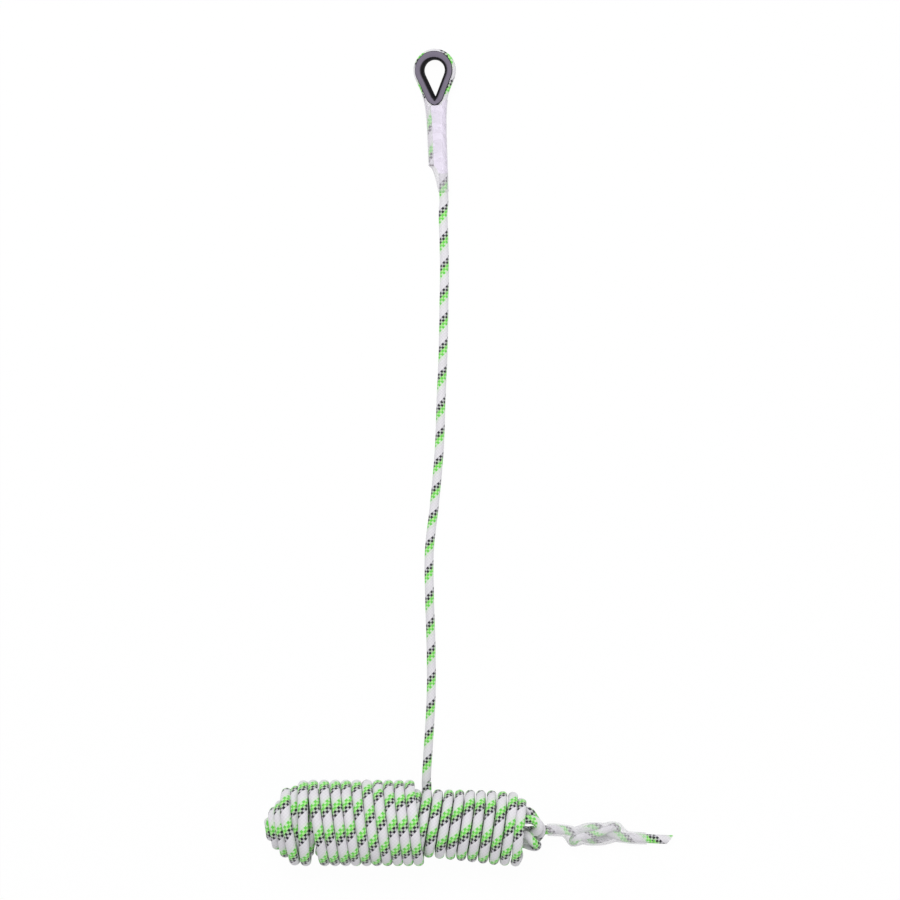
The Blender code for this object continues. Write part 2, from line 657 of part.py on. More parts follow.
def make_cut_end(path, parent):
    """The rope's slanted end: its woven sheath, and the twisted cords of its core inside."""
    along = path[-1] - path[-2]
    yaw = math.atan2(along[1], along[0])
    pitch = -math.asin(along[2] / np.linalg.norm(along))
    frame = Matrix.Translation(path[-1]) @ Euler((0, pitch, yaw)).to_matrix().to_4x4()
    holder = add_empty("cut_end", frame, parent)
    slant = Matrix.Translation((END_LENGTH, 0, 0)) @ Matrix.Rotation(math.radians(-CUT_ANGLE), 4, "Z")
    knife = cutter_box("cut_end_knife", (3 * ROPE_D, 6 * ROPE_D, 6 * ROPE_D), Matrix.Identity(4))
    knife.parent = holder
    knife.matrix_local = slant
    longest = END_LENGTH + ROPE_D
    inner_r = ROPE_R - SHEATH_WALL
    angles = [2 * math.pi * i / 16 for i in range(16)]
    rings = []
    for x, radius in ((GAP, ROPE_R), (longest, ROPE_R), (longest, inner_r), (GAP, inner_r)):
        rings.append([(x, radius * math.cos(a), radius * math.sin(a)) for a in angles])
    cut(loft("end_sheath", rings, rope_paint("end_sheath"), holder, True), knife)
    ring_r = inner_r - GAP / 2 - CORD_R
    for i in range(CORDS_ROUND + 1):
        angle = 2 * math.pi * i / CORDS_ROUND
        y, z = (0.0, 0.0) if i == CORDS_ROUND else (ring_r * math.cos(angle), ring_r * math.sin(angle))
        name = f"core_cord_{i + 1}"
        rings = []
        for x in (GAP, longest):
            rings.append([(x, y + CORD_R * math.cos(a), z + CORD_R * math.sin(a)) for a in angles[::2]])
        cut(loft(name, rings, paint(name, (0.82, 0.80, 0.78), 0.8), holder, False), knife)


def rope_paint(name):
    return paint(name, (0.62, 0.74, 0.58), 0.75)


def wound(name, path, parent, floor):
    """One of the hank's windings: a tube with six sides, cut flat where it lies on the floor."""
    made = as_mesh(tube(name, path, rope_paint(name), parent, sides=6))
    cut(made, floor)
    print(f"{name}: {length_of(path):.3f} m, least gap to itself {1000 * least_gap(path, ROPE_D):.2f} mm")


def main():
    layout = add_empty("layout", Matrix.Identity(4))
    eye = eye_matrix()
    head = add_empty("eye", eye, layout)
    make_thimble(head)
    tube("eye_rope", eye_path(), rope_paint("eye_rope"), head)
    make_label(head)
    make_sleeve(head)
    make_seam("seam_top", 1, head)
    make_seam("seam_under", -1, head)
    run = run_path(eye)
    tube("free_run", run, rope_paint("free_run"), layout)
    bpy.context.view_layer.update()
    floor = cutter_box("floor_cut", FLOOR_CUTTER, Matrix.Rotation(math.radians(90), 4, "Y"))
    outer, inner, core = outer_path(), inner_path(), core_path()
    wound("outer_wraps", outer, layout, floor)
    wound("inner_wraps", inner, layout, floor)
    make_hidden_wraps(layout)
    tube("core_hank", core, rope_paint("core_hank"), layout, sides=6)
    print(f"core_hank: {length_of(core):.3f} m, least gap to itself {1000 * least_gap(core, ROPE_D):.2f} mm")
    tail = tail_path()
    tube("tail_rope", tail, rope_paint("tail_rope"), layout, scales=squeeze(tail))
    print(f"tail_rope: {length_of(tail):.3f} m, least gap {1000 * least_gap(tail, KNOT_D):.2f} mm in the knot")
    make_tail_sleeve(tail, layout)
    make_cut_end(tail, layout)
    centre_on_floor(layout)


def centre_on_floor(layout):
    """Moves the whole line so that the middle of its outline lies over the origin."""
    bpy.context.view_layer.update()
    corners = [np.array(obj.matrix_world) @ np.array((*corner, 1.0))
               for obj in PIECES.objects if obj.type != "EMPTY" for corner in obj.bound_box]
    middle = (np.min(corners, axis=0) + np.max(corners, axis=0)) / 2
    layout.location = (-middle[0], -middle[1], 0.0)


clear_scene()
PIECES = new_collection("anchor_line")
CUTTERS = new_collection("cutters")
main()
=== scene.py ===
"""Anchor line of kernmantle rope on a white table: a sewn eye round a thimble, the rest wound into a hank."""

import math

import bpy
import numpy as np
from mathutils import Euler, Matrix, Vector


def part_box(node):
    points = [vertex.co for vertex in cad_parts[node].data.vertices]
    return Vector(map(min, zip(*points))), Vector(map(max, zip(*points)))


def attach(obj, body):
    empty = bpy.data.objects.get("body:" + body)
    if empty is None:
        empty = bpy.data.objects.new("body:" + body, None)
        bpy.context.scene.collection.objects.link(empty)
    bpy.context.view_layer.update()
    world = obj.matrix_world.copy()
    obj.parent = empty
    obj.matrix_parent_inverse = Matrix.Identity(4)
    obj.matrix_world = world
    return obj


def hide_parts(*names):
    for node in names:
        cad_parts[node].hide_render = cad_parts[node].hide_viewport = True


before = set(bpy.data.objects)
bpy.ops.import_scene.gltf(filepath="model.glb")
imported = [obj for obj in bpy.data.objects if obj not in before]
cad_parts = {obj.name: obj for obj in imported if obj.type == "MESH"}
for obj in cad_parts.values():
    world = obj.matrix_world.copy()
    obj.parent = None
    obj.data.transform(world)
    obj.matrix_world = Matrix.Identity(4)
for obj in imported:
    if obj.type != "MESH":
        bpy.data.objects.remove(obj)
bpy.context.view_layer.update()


# Table, light and camera.
# The line lies on a white table under a large soft lamp, photographed from straight above.
# Places are written from the spot that the drawing starts at, and LAYOUT is that spot in the row frame.
HIDDEN_LEFT_X, HANK_Y = -0.2060, -0.4452
low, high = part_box("hidden_wraps")
LAYOUT = np.array((low.x - HIDDEN_LEFT_X, (low.y + high.y) / 2 - HANK_Y, 0.0))
CAMERA_AT = (-0.02346, 0.00988, 4.0)
PICTURE = 900  # side of the photograph in pixels
MM_PER_PIXEL = 1.2346  # at the table
SENSOR = 36.0


def in_picture(places):
    """Where the camera sees places of the row frame in its picture, as pixels across and down."""
    scale = 0.001 * MM_PER_PIXEL * (1 - places[:, 2] / CAMERA_AT[2])
    across = PICTURE / 2 + (places[:, 0] - LAYOUT[0] - CAMERA_AT[0]) / scale
    down = PICTURE / 2 - (places[:, 1] - LAYOUT[1] - CAMERA_AT[1]) / scale
    return np.stack([across, down], 1)


camera_data = bpy.data.cameras.new("camera")
camera_data.sensor_width = SENSOR
camera_data.lens = SENSOR * CAMERA_AT[2] / (0.001 * PICTURE * MM_PER_PIXEL)
camera_data.clip_end = 50.0
camera = bpy.data.objects.new("camera", camera_data)
camera.location = Vector(CAMERA_AT) + Vector(LAYOUT)
bpy.context.scene.collection.objects.link(camera)
bpy.context.scene.camera = camera
bpy.context.scene.view_settings.view_transform = "Standard"


def soft_lamp(name, place, size, power, aim=(0.0, -0.1, 0.0)):
    data = bpy.data.lights.new(name, "AREA")
    data.shape = "DISK"
    data.size = size
    data.energy = power
    lamp = bpy.data.objects.new(name, data)
    lamp.location = place
    lamp.rotation_euler = (Vector(aim) - Vector(place)).to_track_quat("-Z", "Y").to_euler()
    bpy.context.scene.collection.objects.link(lamp)


soft_lamp("overhead", (-0.5, 1.2, 2.6), 1.6, 46.0)
soft_lamp("fill", (1.6, -0.9, 1.8), 1.4, 8.0)

world = bpy.data.worlds.new("room")
world.use_nodes = True
world.node_tree.nodes["Background"].inputs["Color"].default_value = (1.0, 1.0, 1.0, 1.0)
world.node_tree.nodes["Background"].inputs["Strength"].default_value = 0.62
bpy.context.scene.world = world


def table_white():
    """White card that the camera sees nearly at full white, with a faint shadow."""
    made = bpy.data.materials.new("table_white")
    made.use_nodes = True
    nodes, links = made.node_tree.nodes, made.node_tree.links
    nodes.clear()
    card = nodes.new("ShaderNodeBsdfDiffuse")
    card.inputs["Color"].default_value = (0.86, 0.86, 0.87, 1.0)
    glow = nodes.new("ShaderNodeEmission")
    glow.inputs["Color"].default_value = (1.0, 1.0, 1.0, 1.0)
    light_path = nodes.new("ShaderNodeLightPath")
    seen = nodes.new("ShaderNodeMath")
    seen.operation = "MAXIMUM"
    links.new(light_path.outputs["Is Camera Ray"], seen.inputs[0])
    links.new(light_path.outputs["Is Transmission Ray"], seen.inputs[1])
    share = nodes.new("ShaderNodeMath")
    share.operation = "MULTIPLY"
    share.inputs[1].default_value = 0.97
    links.new(seen.outputs[0], share.inputs[0])
    mix = nodes.new("ShaderNodeMixShader")
    links.new(share.outputs[0], mix.inputs[0])
    links.new(card.outputs[0], mix.inputs[1])
    links.new(glow.outputs[0], mix.inputs[2])
    out = nodes.new("ShaderNodeOutputMaterial")
    links.new(mix.outputs[0], out.inputs["Surface"])
    return made


bpy.ops.object.select_all(action="DESELECT")
bpy.ops.mesh.primitive_plane_add(size=12.0, location=(0, 0, -0.0002))
table = bpy.context.active_object
table.name = "table"
table.data.materials.append(table_white())


# Thimble.
# A moulded channel of dark grey nylon, bent to a teardrop: a web round the hole, a groove for the rope, and
# two flanges whose inner edge swells into the hole. It lies tilted, its right side up.
EYE_AT = (-0.0423, 0.4771, 0.0123)
EYE = Matrix.Translation(Vector(EYE_AT) + Vector(LAYOUT)) @ Euler(
    (math.radians(1.85), math.radians(-11.4), math.radians(1.7))).to_matrix().to_4x4()
HOLE_R, TIP_R, TIP_AT = 0.0128, 0.0008, 0.0303
FLANGE_TO, GROOVE_R, HALF_T, WEB = 0.0107, 0.0060, 0.0077, 0.0022
SHOULDER = 0.0065  # width of the swelling from the hole's wall to the flat of the flange
RIM_R = 0.0011  # rounding of the flange's rim
CROWN_LESS = 0.35  # share by which the swelling narrows at the crown
# The narrow end is drawn to a point: by this share, out to this distance from it, and fading beyond
POINT_SHARE, POINT_REACH, POINT_FADE = 0.42, 0.0048, 0.124
SLOPE = math.asin((HOLE_R - TIP_R) / TIP_AT)


def teardrop(round_points, tip_points):
    """The hole's outline, round its big end and then its tip."""
    points = []
    for i in range(round_points):
        turn = -SLOPE + (math.pi + 2 * SLOPE) * i / (round_points - 1)
        points.append((HOLE_R * math.cos(turn), HOLE_R * math.sin(turn), 0.0))
    for i in range(tip_points):
        turn = math.pi + SLOPE + (math.pi - 2 * SLOPE) * i / (tip_points - 1)
        points.append((TIP_R * math.cos(turn), -TIP_AT + TIP_R * math.sin(turn), 0.0))
    return points


def channel_section():
    """The channel's section, a half and its mirror image, as (distance outwards, height)."""
    half = [(0.0001, 0.0)]
    for i in range(1, 12):
        angle = math.radians(7.5 * i)
        half.append((SHOULDER * (1 - math.cos(angle)), HALF_T * math.sin(angle) ** 0.96))
    for i in range(5):
        angle = math.radians(90 - 22.5 * i)
        half.append((FLANGE_TO - RIM_R + RIM_R * math.cos(angle), HALF_T - RIM_R + RIM_R * math.sin(angle)))
    half.append((FLANGE_TO - 0.0002, GROOVE_R + 0.0001))
    for i in range(9):
        angle = math.radians(90 + 10.5 * i)
        half.append((WEB + GROOVE_R + GROOVE_R * math.cos(angle), GROOVE_R * math.sin(angle)))
    return half + [(out, -up) for out, up in reversed(half[1:])]


def poly_curve(name, points, closed, flat):
    data = bpy.data.curves.new(name, "CURVE")
    data.dimensions = "2D" if flat else "3D"
    data.fill_mode = "NONE" if flat else "FULL"
    spline = data.splines.new("POLY")
    spline.points.add(len(points) - 1)
    for point, place in zip(spline.points, points):
        point.co = (*place, 1.0)
    spline.use_cyclic_u = closed
    made = bpy.data.objects.new(name, data)
    bpy.context.scene.collection.objects.link(made)
    return made


def only(obj):
    bpy.ops.object.select_all(action="DESELECT")
    obj.select_set(True)
    bpy.context.view_layer.objects.active = obj


def reckon(tree, operation, *values):
    """A Math node over sockets or numbers; gives its output."""
    node = tree.nodes.new("ShaderNodeMath")
    node.operation = operation
    for socket, value in zip(node.inputs, values):
        if isinstance(value, bpy.types.NodeSocket):
            tree.links.new(value, socket)
        else:
            socket.default_value = value
    return node.outputs[0]


def blend_colors(tree, share, one, two):
    node = tree.nodes.new("ShaderNodeMix")
    node.data_type = "RGBA"
    for socket, value in ((node.inputs[0], share), (node.inputs[6], one), (node.inputs[7], two)):
        if isinstance(value, bpy.types.NodeSocket):
            tree.links.new(value, socket)
        elif isinstance(value, float):
            socket.default_value = value
        else:
            socket.default_value = (*value, 1.0)
    return node.outputs[2]


def noise(tree, scale, detail=2.0, source="Object"):
    coordinates = tree.nodes.new("ShaderNodeTexCoord")
    texture = tree.nodes.new("ShaderNodeTexNoise")
    texture.inputs["Scale"].default_value = scale
    texture.inputs["Detail"].default_value = detail
    tree.links.new(coordinates.outputs[source], texture.inputs["Vector"])
    return texture.outputs[0]


def bumped(tree, height, distance, strength=1.0):
    node = tree.nodes.new("ShaderNodeBump")
    node.inputs["Strength"].default_value = strength
    node.inputs["Distance"].default_value = distance
    tree.links.new(height, node.inputs["Height"])
    return node.outputs[0]


def finish_material(name, roughness):
    made = bpy.data.materials.new(name)
    made.use_nodes = True
    shader = made.node_tree.nodes["Principled BSDF"]
    shader.inputs["Roughness"].default_value = roughness
    return made, made.node_tree, shader


def moulded_nylon():
    """Satin dark grey nylon, with painted shade: where the surface turns away from the thimble's up
    direction, down the walls and at the rims, it is painted near black; the flat flanges keep the paler grey.
    """
    made, tree, shader = finish_material("moulded_nylon", 0.55)
    shader.inputs["Specular IOR Level"].default_value = 0.25
    geometry = tree.nodes.new("ShaderNodeNewGeometry")
    upwards = tree.nodes.new("ShaderNodeVectorMath")
    upwards.operation = "DOT_PRODUCT"
    upwards.inputs[1].default_value = EYE.to_3x3().col[2]
    tree.links.new(geometry.outputs["Normal"], upwards.inputs[0])
    facing = reckon(tree, "ABSOLUTE", upwards.outputs["Value"])
    flat = tree.nodes.new("ShaderNodeMapRange")
    flat.interpolation_type = "SMOOTHSTEP"
    flat.inputs["From Min"].default_value = 0.85
    flat.inputs["From Max"].default_value = 1.0
    tree.links.new(facing, flat.inputs["Value"])
    cloud = reckon(tree, "MULTIPLY_ADD", noise(tree, 90.0, 3.0), 0.35, 0.82)
    # Painted shade: near black on sideways-facing walls and rims, grey where the surface faces up
    grey_with_painted_shade = blend_colors(tree, flat.outputs[0], (0.004, 0.003, 0.005), (0.155, 0.133, 0.182))
    shade = tree.nodes.new("ShaderNodeVectorMath")
    shade.operation = "SCALE"
    tree.links.new(grey_with_painted_shade, shade.inputs[0])
    tree.links.new(cloud, shade.inputs["Scale"])
    tree.links.new(shade.outputs[0], shader.inputs["Base Color"])
    tree.links.new(bumped(tree, noise(tree, 2600.0, 2.0), 0.00006, 0.5), shader.inputs["Normal"])
    return made


section = poly_curve("thimble_section", [(-out, up, 0.0) for out, up in channel_section()], True, True)
thimble = poly_curve("moulded_thimble", teardrop(65, 17), True, True)
thimble.data.bevel_mode = "OBJECT"
thimble.data.bevel_object = section
only(thimble)
bpy.ops.object.convert(target="MESH")
thimble = bpy.context.active_object
bpy.data.objects.remove(section)
for vertex in thimble.data.vertices:
    radius = math.hypot(vertex.co.x, vertex.co.y)
    if vertex.co.y > 0 and radius < HOLE_R + SHOULDER:
        crown = (vertex.co.y / radius) ** 2
        swell = (radius - HOLE_R) * (1 - CROWN_LESS * crown)
        vertex.co.x *= (HOLE_R + swell) / radius
        vertex.co.y *= (HOLE_R + swell) / radius
    from_tip = vertex.co + Vector((0, TIP_AT, 0))
    radius = math.hypot(from_tip.x, from_tip.y)
    off_axis = abs(math.atan2(from_tip.x, -from_tip.y))
    if off_axis < math.pi / 2 - SLOPE:
        pointed = 1 / math.cos(math.pi / 2 - SLOPE - off_axis) - 1
        reach = POINT_SHARE * min(radius, POINT_REACH) - POINT_FADE * max(0.0, radius - POINT_REACH)
        vertex.co.x *= 1 + pointed * reach / radius
        vertex.co.y = from_tip.y * (1 + pointed * reach / radius) - TIP_AT
bpy.ops.object.mode_set(mode="EDIT")
bpy.ops.mesh.select_all(action="SELECT")
bpy.ops.mesh.remove_doubles(threshold=0.00001)
bpy.ops.mesh.normals_make_consistent(inside=False)
bpy.ops.object.mode_set(mode="OBJECT")
thimble.data.transform(EYE)
bpy.ops.object.shade_smooth_by_angle(angle=math.radians(35))
thimble.data.materials.clear()
thimble.data.materials.append(moulded_nylon())
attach(thimble, "root")
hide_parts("thimble")


# Rope in the eye.
# Low-stretch kernmantle rope: a woven sheath of sixteen strands over a core of twisted cords. Eight strands
# run each way, one over one; of those that climb to the right two are black, two green and four white.
ROPE_R = 0.0055
PITCH = 0.0335  # length of one turn of a sheath strand
YARN_WHITE, YARN_GREEN, YARN_BLACK = (0.70, 0.685, 0.72), (0.115, 0.60, 0.055), (0.006, 0.003, 0.012)
WHITE_BY_GREEN = (0.655, 0.70, 0.645)
CLIMBING = (YARN_BLACK, YARN_BLACK, YARN_GREEN, YARN_GREEN, WHITE_BY_GREEN, *[YARN_WHITE] * 3)
# White strands where they lie over each of those, with the colour below glowing through
FALLING = ((0.50, 0.49, 0.52), (0.42, 0.55, 0.38), (0.38, 0.77, 0.25), (0.53, 0.74, 0.46), WHITE_BY_GREEN,
           YARN_WHITE, YARN_WHITE, YARN_WHITE)


def color_of_strand(tree, place, colors):
    """The colour of strand number place, from eight."""
    ramp = tree.nodes.new("ShaderNodeValToRGB")
    ramp.color_ramp.interpolation = "CONSTANT"
    elements = ramp.color_ramp.elements
    while len(elements) < len(colors):
        elements.new(1.0)
    for i, color in enumerate(colors):
        elements[i].position = i / len(colors)
        elements[i].color = (*color, 1.0)
    tree.links.new(reckon(tree, "MULTIPLY_ADD", place, 1 / len(colors), 0.5 / len(colors)), ramp.inputs[0])
    return ramp.outputs[0]


def woven_sheath(name="woven_sheath"):
    """The sheath's colour, with shade painted into the hollows between its strands, and its relief, from the
    rope's own UV: U in pitches along it, V once round it.
    """
    made, tree, shader = finish_material(name, 0.68)
    shader.inputs["Sheen Weight"].default_value = 0.25
    shader.inputs["Sheen Roughness"].default_value = 0.45
    uv = tree.nodes.new("ShaderNodeUVMap")
    uv.uv_map = "UVMap"
    split = tree.nodes.new("ShaderNodeSeparateXYZ")
    tree.links.new(uv.outputs[0], split.inputs[0])
    along, round_it = split.outputs["X"], split.outputs["Y"]
    climbing = reckon(tree, "MULTIPLY", reckon(tree, "SUBTRACT", round_it, along), 8.0)
    falling = reckon(tree, "MULTIPLY", reckon(tree, "ADD", round_it, along), 8.0)
    strand, crossing = reckon(tree, "ROUND", climbing), reckon(tree, "ROUND", falling)
    off_strand = reckon(tree, "SUBTRACT", climbing, strand)
    off_crossing = reckon(tree, "SUBTRACT", falling, crossing)
    under = reckon(tree, "FLOORED_MODULO", reckon(tree, "ADD", strand, crossing), 2.0)
    # Across and along the strand that is on top in this cell
    swap = reckon(tree, "SUBTRACT", off_crossing, off_strand)
    across = reckon(tree, "MULTIPLY_ADD", swap, under, off_strand)
    lengthwise = reckon(tree, "MULTIPLY_ADD", reckon(tree, "MULTIPLY", swap, -1.0), under, off_crossing)
    crown = reckon(tree, "COSINE", reckon(tree, "MULTIPLY", across, 2.75))
    arch = reckon(tree, "COSINE", reckon(tree, "MULTIPLY", lengthwise, 2.75))
    raised = reckon(tree, "MAXIMUM", reckon(tree, "MULTIPLY", crown, arch), 0.0)
    swelling = reckon(tree, "POWER", raised, 0.45)
    slanted = reckon(tree, "MULTIPLY_ADD", lengthwise, 3.0, reckon(tree, "MULTIPLY", across, 26.0))
    yarns = reckon(tree, "SINE", slanted)
    fuzz = noise(tree, 1400.0, 3.0)
    relief = reckon(tree, "ADD", swelling, reckon(tree, "MULTIPLY", yarns, 0.055))
    relief = reckon(tree, "MULTIPLY_ADD", fuzz, 0.25, relief)
    place = reckon(tree, "FLOORED_MODULO", reckon(tree, "MULTIPLY", strand, -1.0), 8.0)
    climbing_color = color_of_strand(tree, place, CLIMBING)
    color = blend_colors(tree, under, climbing_color, color_of_strand(tree, place, FALLING))
    # Painted shade: each strand's colour darkens where it dips into the hollows of the weave, with random
    # tone on top
    hollow_shade_and_tone = reckon(tree, "MULTIPLY_ADD", swelling, 0.16, 0.85)
    hollow_shade_and_tone = reckon(tree, "MULTIPLY_ADD", reckon(tree, "SUBTRACT", noise(tree, 45.0, 2.0), 0.5), 0.16, hollow_shade_and_tone)
    shade = tree.nodes.new("ShaderNodeVectorMath")
    shade.operation = "SCALE"
    tree.links.new(color, shade.inputs[0])
    tree.links.new(hollow_shade_and_tone, shade.inputs["Scale"])
    tree.links.new(shade.outputs[0], shader.inputs["Base Color"])
    tree.links.new(bumped(tree, relief, 0.00030, 0.7), shader.inputs["Normal"])
    return made


SHEATH = woven_sheath()


def even(path, step):
    """The same path with points about one step apart."""
    path = np.asarray(path, float)
    along = np.concatenate([[0], np.cumsum(np.linalg.norm(np.diff(path, axis=0), axis=1))])
    at = np.linspace(0, along[-1], max(2, round(along[-1] / step) + 1))
    return np.stack([np.interp(at, along, path[:, axis]) for axis in range(3)], 1)


def length_of(path):
    return float(np.linalg.norm(np.diff(path, axis=0), axis=1).sum())


def rope(name, path, start, marks, sides=24, radius=ROPE_R, wide=1.0, deep=1.0, flip=False):
    """A length of rope along a path in the row frame; start is how much rope lies before it. In the hank it
    is pressed oval: wide is its size along X, deep its size across that. It is pressed flat on the table.
    The rope is twisted just so much that at each mark black turns to green on its upper side."""
    path = np.asarray(path, float)
    tangent = np.gradient(path, axis=0)
    tangent /= np.linalg.norm(tangent, axis=1)[:, None]
    normal = np.cross(tangent[0], (1.0, 0.0, 0.0) if abs(tangent[0][0]) < 0.9 else (0.0, 1.0, 0.0))
    normals = []
    for direction in tangent:
        normal = normal - direction * (normal @ direction)
        normal = normal / np.linalg.norm(normal)
        normals.append(normal)
    normals = np.array(normals)
    sideways = np.cross(tangent, normals)
    turn = 2 * np.pi * np.arange(sides) / sides
    reach = np.broadcast_to(radius, len(path))[:, None, None]
    cosine, sine = np.cos(turn)[None, :, None], np.sin(turn)[None, :, None]
    ring = (cosine * normals[:, None] + sine * sideways[:, None]) * reach
    ring[:, :, 0] *= np.broadcast_to(wide, len(path))[:, None]
    ring[:, :, 1:] *= deep
    points = (path[:, None] + ring).reshape(-1, 3)
    points[:, 2] = np.maximum(points[:, 2], 0.0)
    count = len(path)
    first = (np.arange(count - 1)[:, None] * sides + np.arange(sides)[None]).ravel()
    step = np.tile((np.arange(sides) + 1) % sides - np.arange(sides), count - 1)
    faces = np.stack([first, first + step, first + step + sides, first + sides], 1)
    along = (start + np.concatenate([[0], np.cumsum(np.linalg.norm(np.diff(path, axis=0), axis=1))])) / PITCH
    spots, twists = [], [0.0]
    for mark in marks:
        spot = int(np.argmin(np.linalg.norm(path - mark, axis=1)))
        upper = math.atan2(sideways[spot][2], normals[spot][2]) / (2 * math.pi)
        wanted = along[spot] - (-0.1875 if flip else 0.1875) - upper
        spots.append(along[spot])
        twists.append(twists[-1] + (wanted - twists[-1] + 0.5) % 1.0 - 0.5)
    twist = np.interp(along, spots, twists[1:]) if spots else np.zeros(count)
    u = np.repeat(along[:-1], sides)
    u_next = np.repeat(along[1:], sides)
    v = (twist[:-1, None] + np.arange(sides) / sides).ravel()
    v_next = (twist[1:, None] + np.arange(sides) / sides).ravel()
    uv = np.stack([u, v, u, v + 1 / sides, u_next, v_next + 1 / sides, u_next, v_next], 1).reshape(-1, 2)
    ends = [list(range(sides))[::-1], list(range((count - 1) * sides, count * sides))]
    end_uv = [(along[0], 0.5)] * sides + [(along[-1], 0.5)] * sides
    uv = np.vstack([uv, end_uv])
    if flip:
        uv = -uv
    data = bpy.data.meshes.new(name)
    data.from_pydata(points.tolist(), [], faces.tolist() + ends)
    data.uv_layers.new(name="UVMap").data.foreach_set("uv", uv.astype(np.float32).ravel())
    data.materials.append(SHEATH)
    data.shade_smooth()
    made = bpy.data.objects.new(name, data)
    bpy.context.scene.collection.objects.link(made)
    return made


SEAT_R = HOLE_R + WEB + GROOVE_R
SHORT_LEG_END, STANDING_LEG_END = 0.117, 0.152
LEGS_FROM = SEAT_R * math.sin(SLOPE)  # where they leave the thimble's round end, below its centre
DRAWN_FROM = 0.024  # below here the legs leave the thimble's line and close up
LEG_GAP = 0.0003
LOOSE_SIDES = 28  # faces round the rope outside the hank


def leg_offset(down):
    """Distance of each leg's centre line from the eye's axis, this far below the thimble's centre."""
    if down < DRAWN_FROM:
        return SEAT_R / math.cos(SLOPE) - down * math.tan(SLOPE)
    apart = ROPE_R + LEG_GAP / 2
    begin = SEAT_R / math.cos(SLOPE) - DRAWN_FROM * math.tan(SLOPE)
    fade = (begin - apart) / math.tan(SLOPE)
    return apart + (begin - apart) * math.exp(-(down - DRAWN_FROM) / fade)


def in_row(points, matrix=EYE):
    return np.array([matrix @ Vector(point) for point in points])


eye_line = [(-leg_offset(down), -down, 0.0) for down in np.arange(SHORT_LEG_END, LEGS_FROM, -0.002)]
for i in range(49):
    turn = math.pi + SLOPE - (math.pi + 2 * SLOPE) * i / 48
    eye_line.append((SEAT_R * math.cos(turn), SEAT_R * math.sin(turn), 0.0))
for down in np.arange(LEGS_FROM + 0.002, STANDING_LEG_END, 0.002):
    eye_line.append((leg_offset(down), -down, 0.0))
eye_line = even(in_row(eye_line), 0.0015)
EYE_ROPE_PHASE = 0.0012


def seen_marks(line, pixels, further=0.0):
    """Places on a line whose upper side the camera sees at these pixels, then moved further along it."""
    fine = even(line, 0.0005)
    seen = in_picture(fine + (0, 0, ROPE_R))
    spots = [int(np.argmin(np.linalg.norm(seen - pixel, axis=1))) for pixel in pixels]
    return [fine[min(len(fine) - 1, spot + round(further / 0.0005))] for spot in spots]


def melted_end():
    """The short leg's end, melted shut: hard, brown-grey and a little glossy."""
    made, tree, shader = finish_material("melted_end", 0.4)
    cloud = noise(tree, 700.0, 3.0)
    brown = blend_colors(tree, cloud, (0.07, 0.05, 0.05), (0.16, 0.12, 0.12))
    tree.links.new(brown, shader.inputs["Base Color"])
    tree.links.new(bumped(tree, cloud, 0.0003), shader.inputs["Normal"])
    return made


# Pixels of the photograph at which black turns to green, on each leg and round the thimble
SHORT_LEG_BAND, STANDING_LEG_BAND = (429.4, 123.2), (443.5, 185.5)
THIMBLE_BANDS = ((420.5, 90.2), (417.7, 58.9), (446.1, 54.0), (450.2, 86.2))
eye_marks = seen_marks(eye_line, [SHORT_LEG_BAND])
# Round the thimble it is the rope's outer side that shows, a sixth of a turn from its upper side
eye_marks += seen_marks(eye_line, THIMBLE_BANDS, PITCH / 6)
eye_marks += seen_marks(eye_line, [STANDING_LEG_BAND])
eye_rope = rope("rope_in_eye", eye_line, EYE_ROPE_PHASE - length_of(eye_line), eye_marks, sides=LOOSE_SIDES)
eye_rope.data.materials.append(melted_end())
for face in [*eye_rope.data.polygons[:LOOSE_SIDES], eye_rope.data.polygons[-2]]:
    face.material_index = 1
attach(eye_rope, "root")
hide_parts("eye_rope")


# Stitching of the eye.
# Strong off-white thread sewn to and fro through both legs. It shows as a zigzag in the valley between them.


def sewing_thread():
    made, tree, shader = finish_material("sewing_thread", 0.6)
    shader.inputs["Sheen Weight"].default_value = 0.2
    twist = tree.nodes.new("ShaderNodeTexWave")
    twist.inputs["Scale"].default_value = 900.0
    coordinates = tree.nodes.new("ShaderNodeTexCoord")
    tree.links.new(coordinates.outputs["Object"], twist.inputs["Vector"])
    tree.links.new(blend_colors(tree, twist.outputs["Fac"], (0.62, 0.60, 0.58), (0.84, 0.82, 0.80)),
                   shader.inputs["Base Color"])
    tree.links.new(bumped(tree, twist.outputs["Fac"], 0.0001), shader.inputs["Normal"])
    return made


THREAD_R = 0.0005
STITCHES, STITCH, SEAM_FROM, SEAM_HALF_W = 27, 0.0022, 0.054, 0.002
thread = sewing_thread()
for name, side in (("seam_top", 1), ("seam_under", -1)):
    ride_r = ROPE_R + THREAD_R + 0.0002
    stitches = []
    for i in range(STITCHES * 4 + 1):
        down = SEAM_FROM + STITCH * i / 4
        x = SEAM_HALF_W * math.cos(math.pi * i / 4)
        height = math.sqrt(ride_r**2 - min(leg_offset(down) - abs(x), 0.92 * ride_r) ** 2)
        stitches.append(EYE @ Vector((x, -down, side * height)))
    seam = poly_curve(f"stitches_{name}", stitches, False, False)
    seam.data.bevel_depth = THREAD_R
    seam.data.bevel_resolution = 2
    seam.data.use_fill_caps = True
    only(seam)
    bpy.ops.object.convert(target="MESH")
    seam = bpy.context.active_object
    bpy.ops.object.shade_smooth_by_angle(angle=math.radians(50))
    seam.data.materials.append(thread)
    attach(seam, "root")
    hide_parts(name)


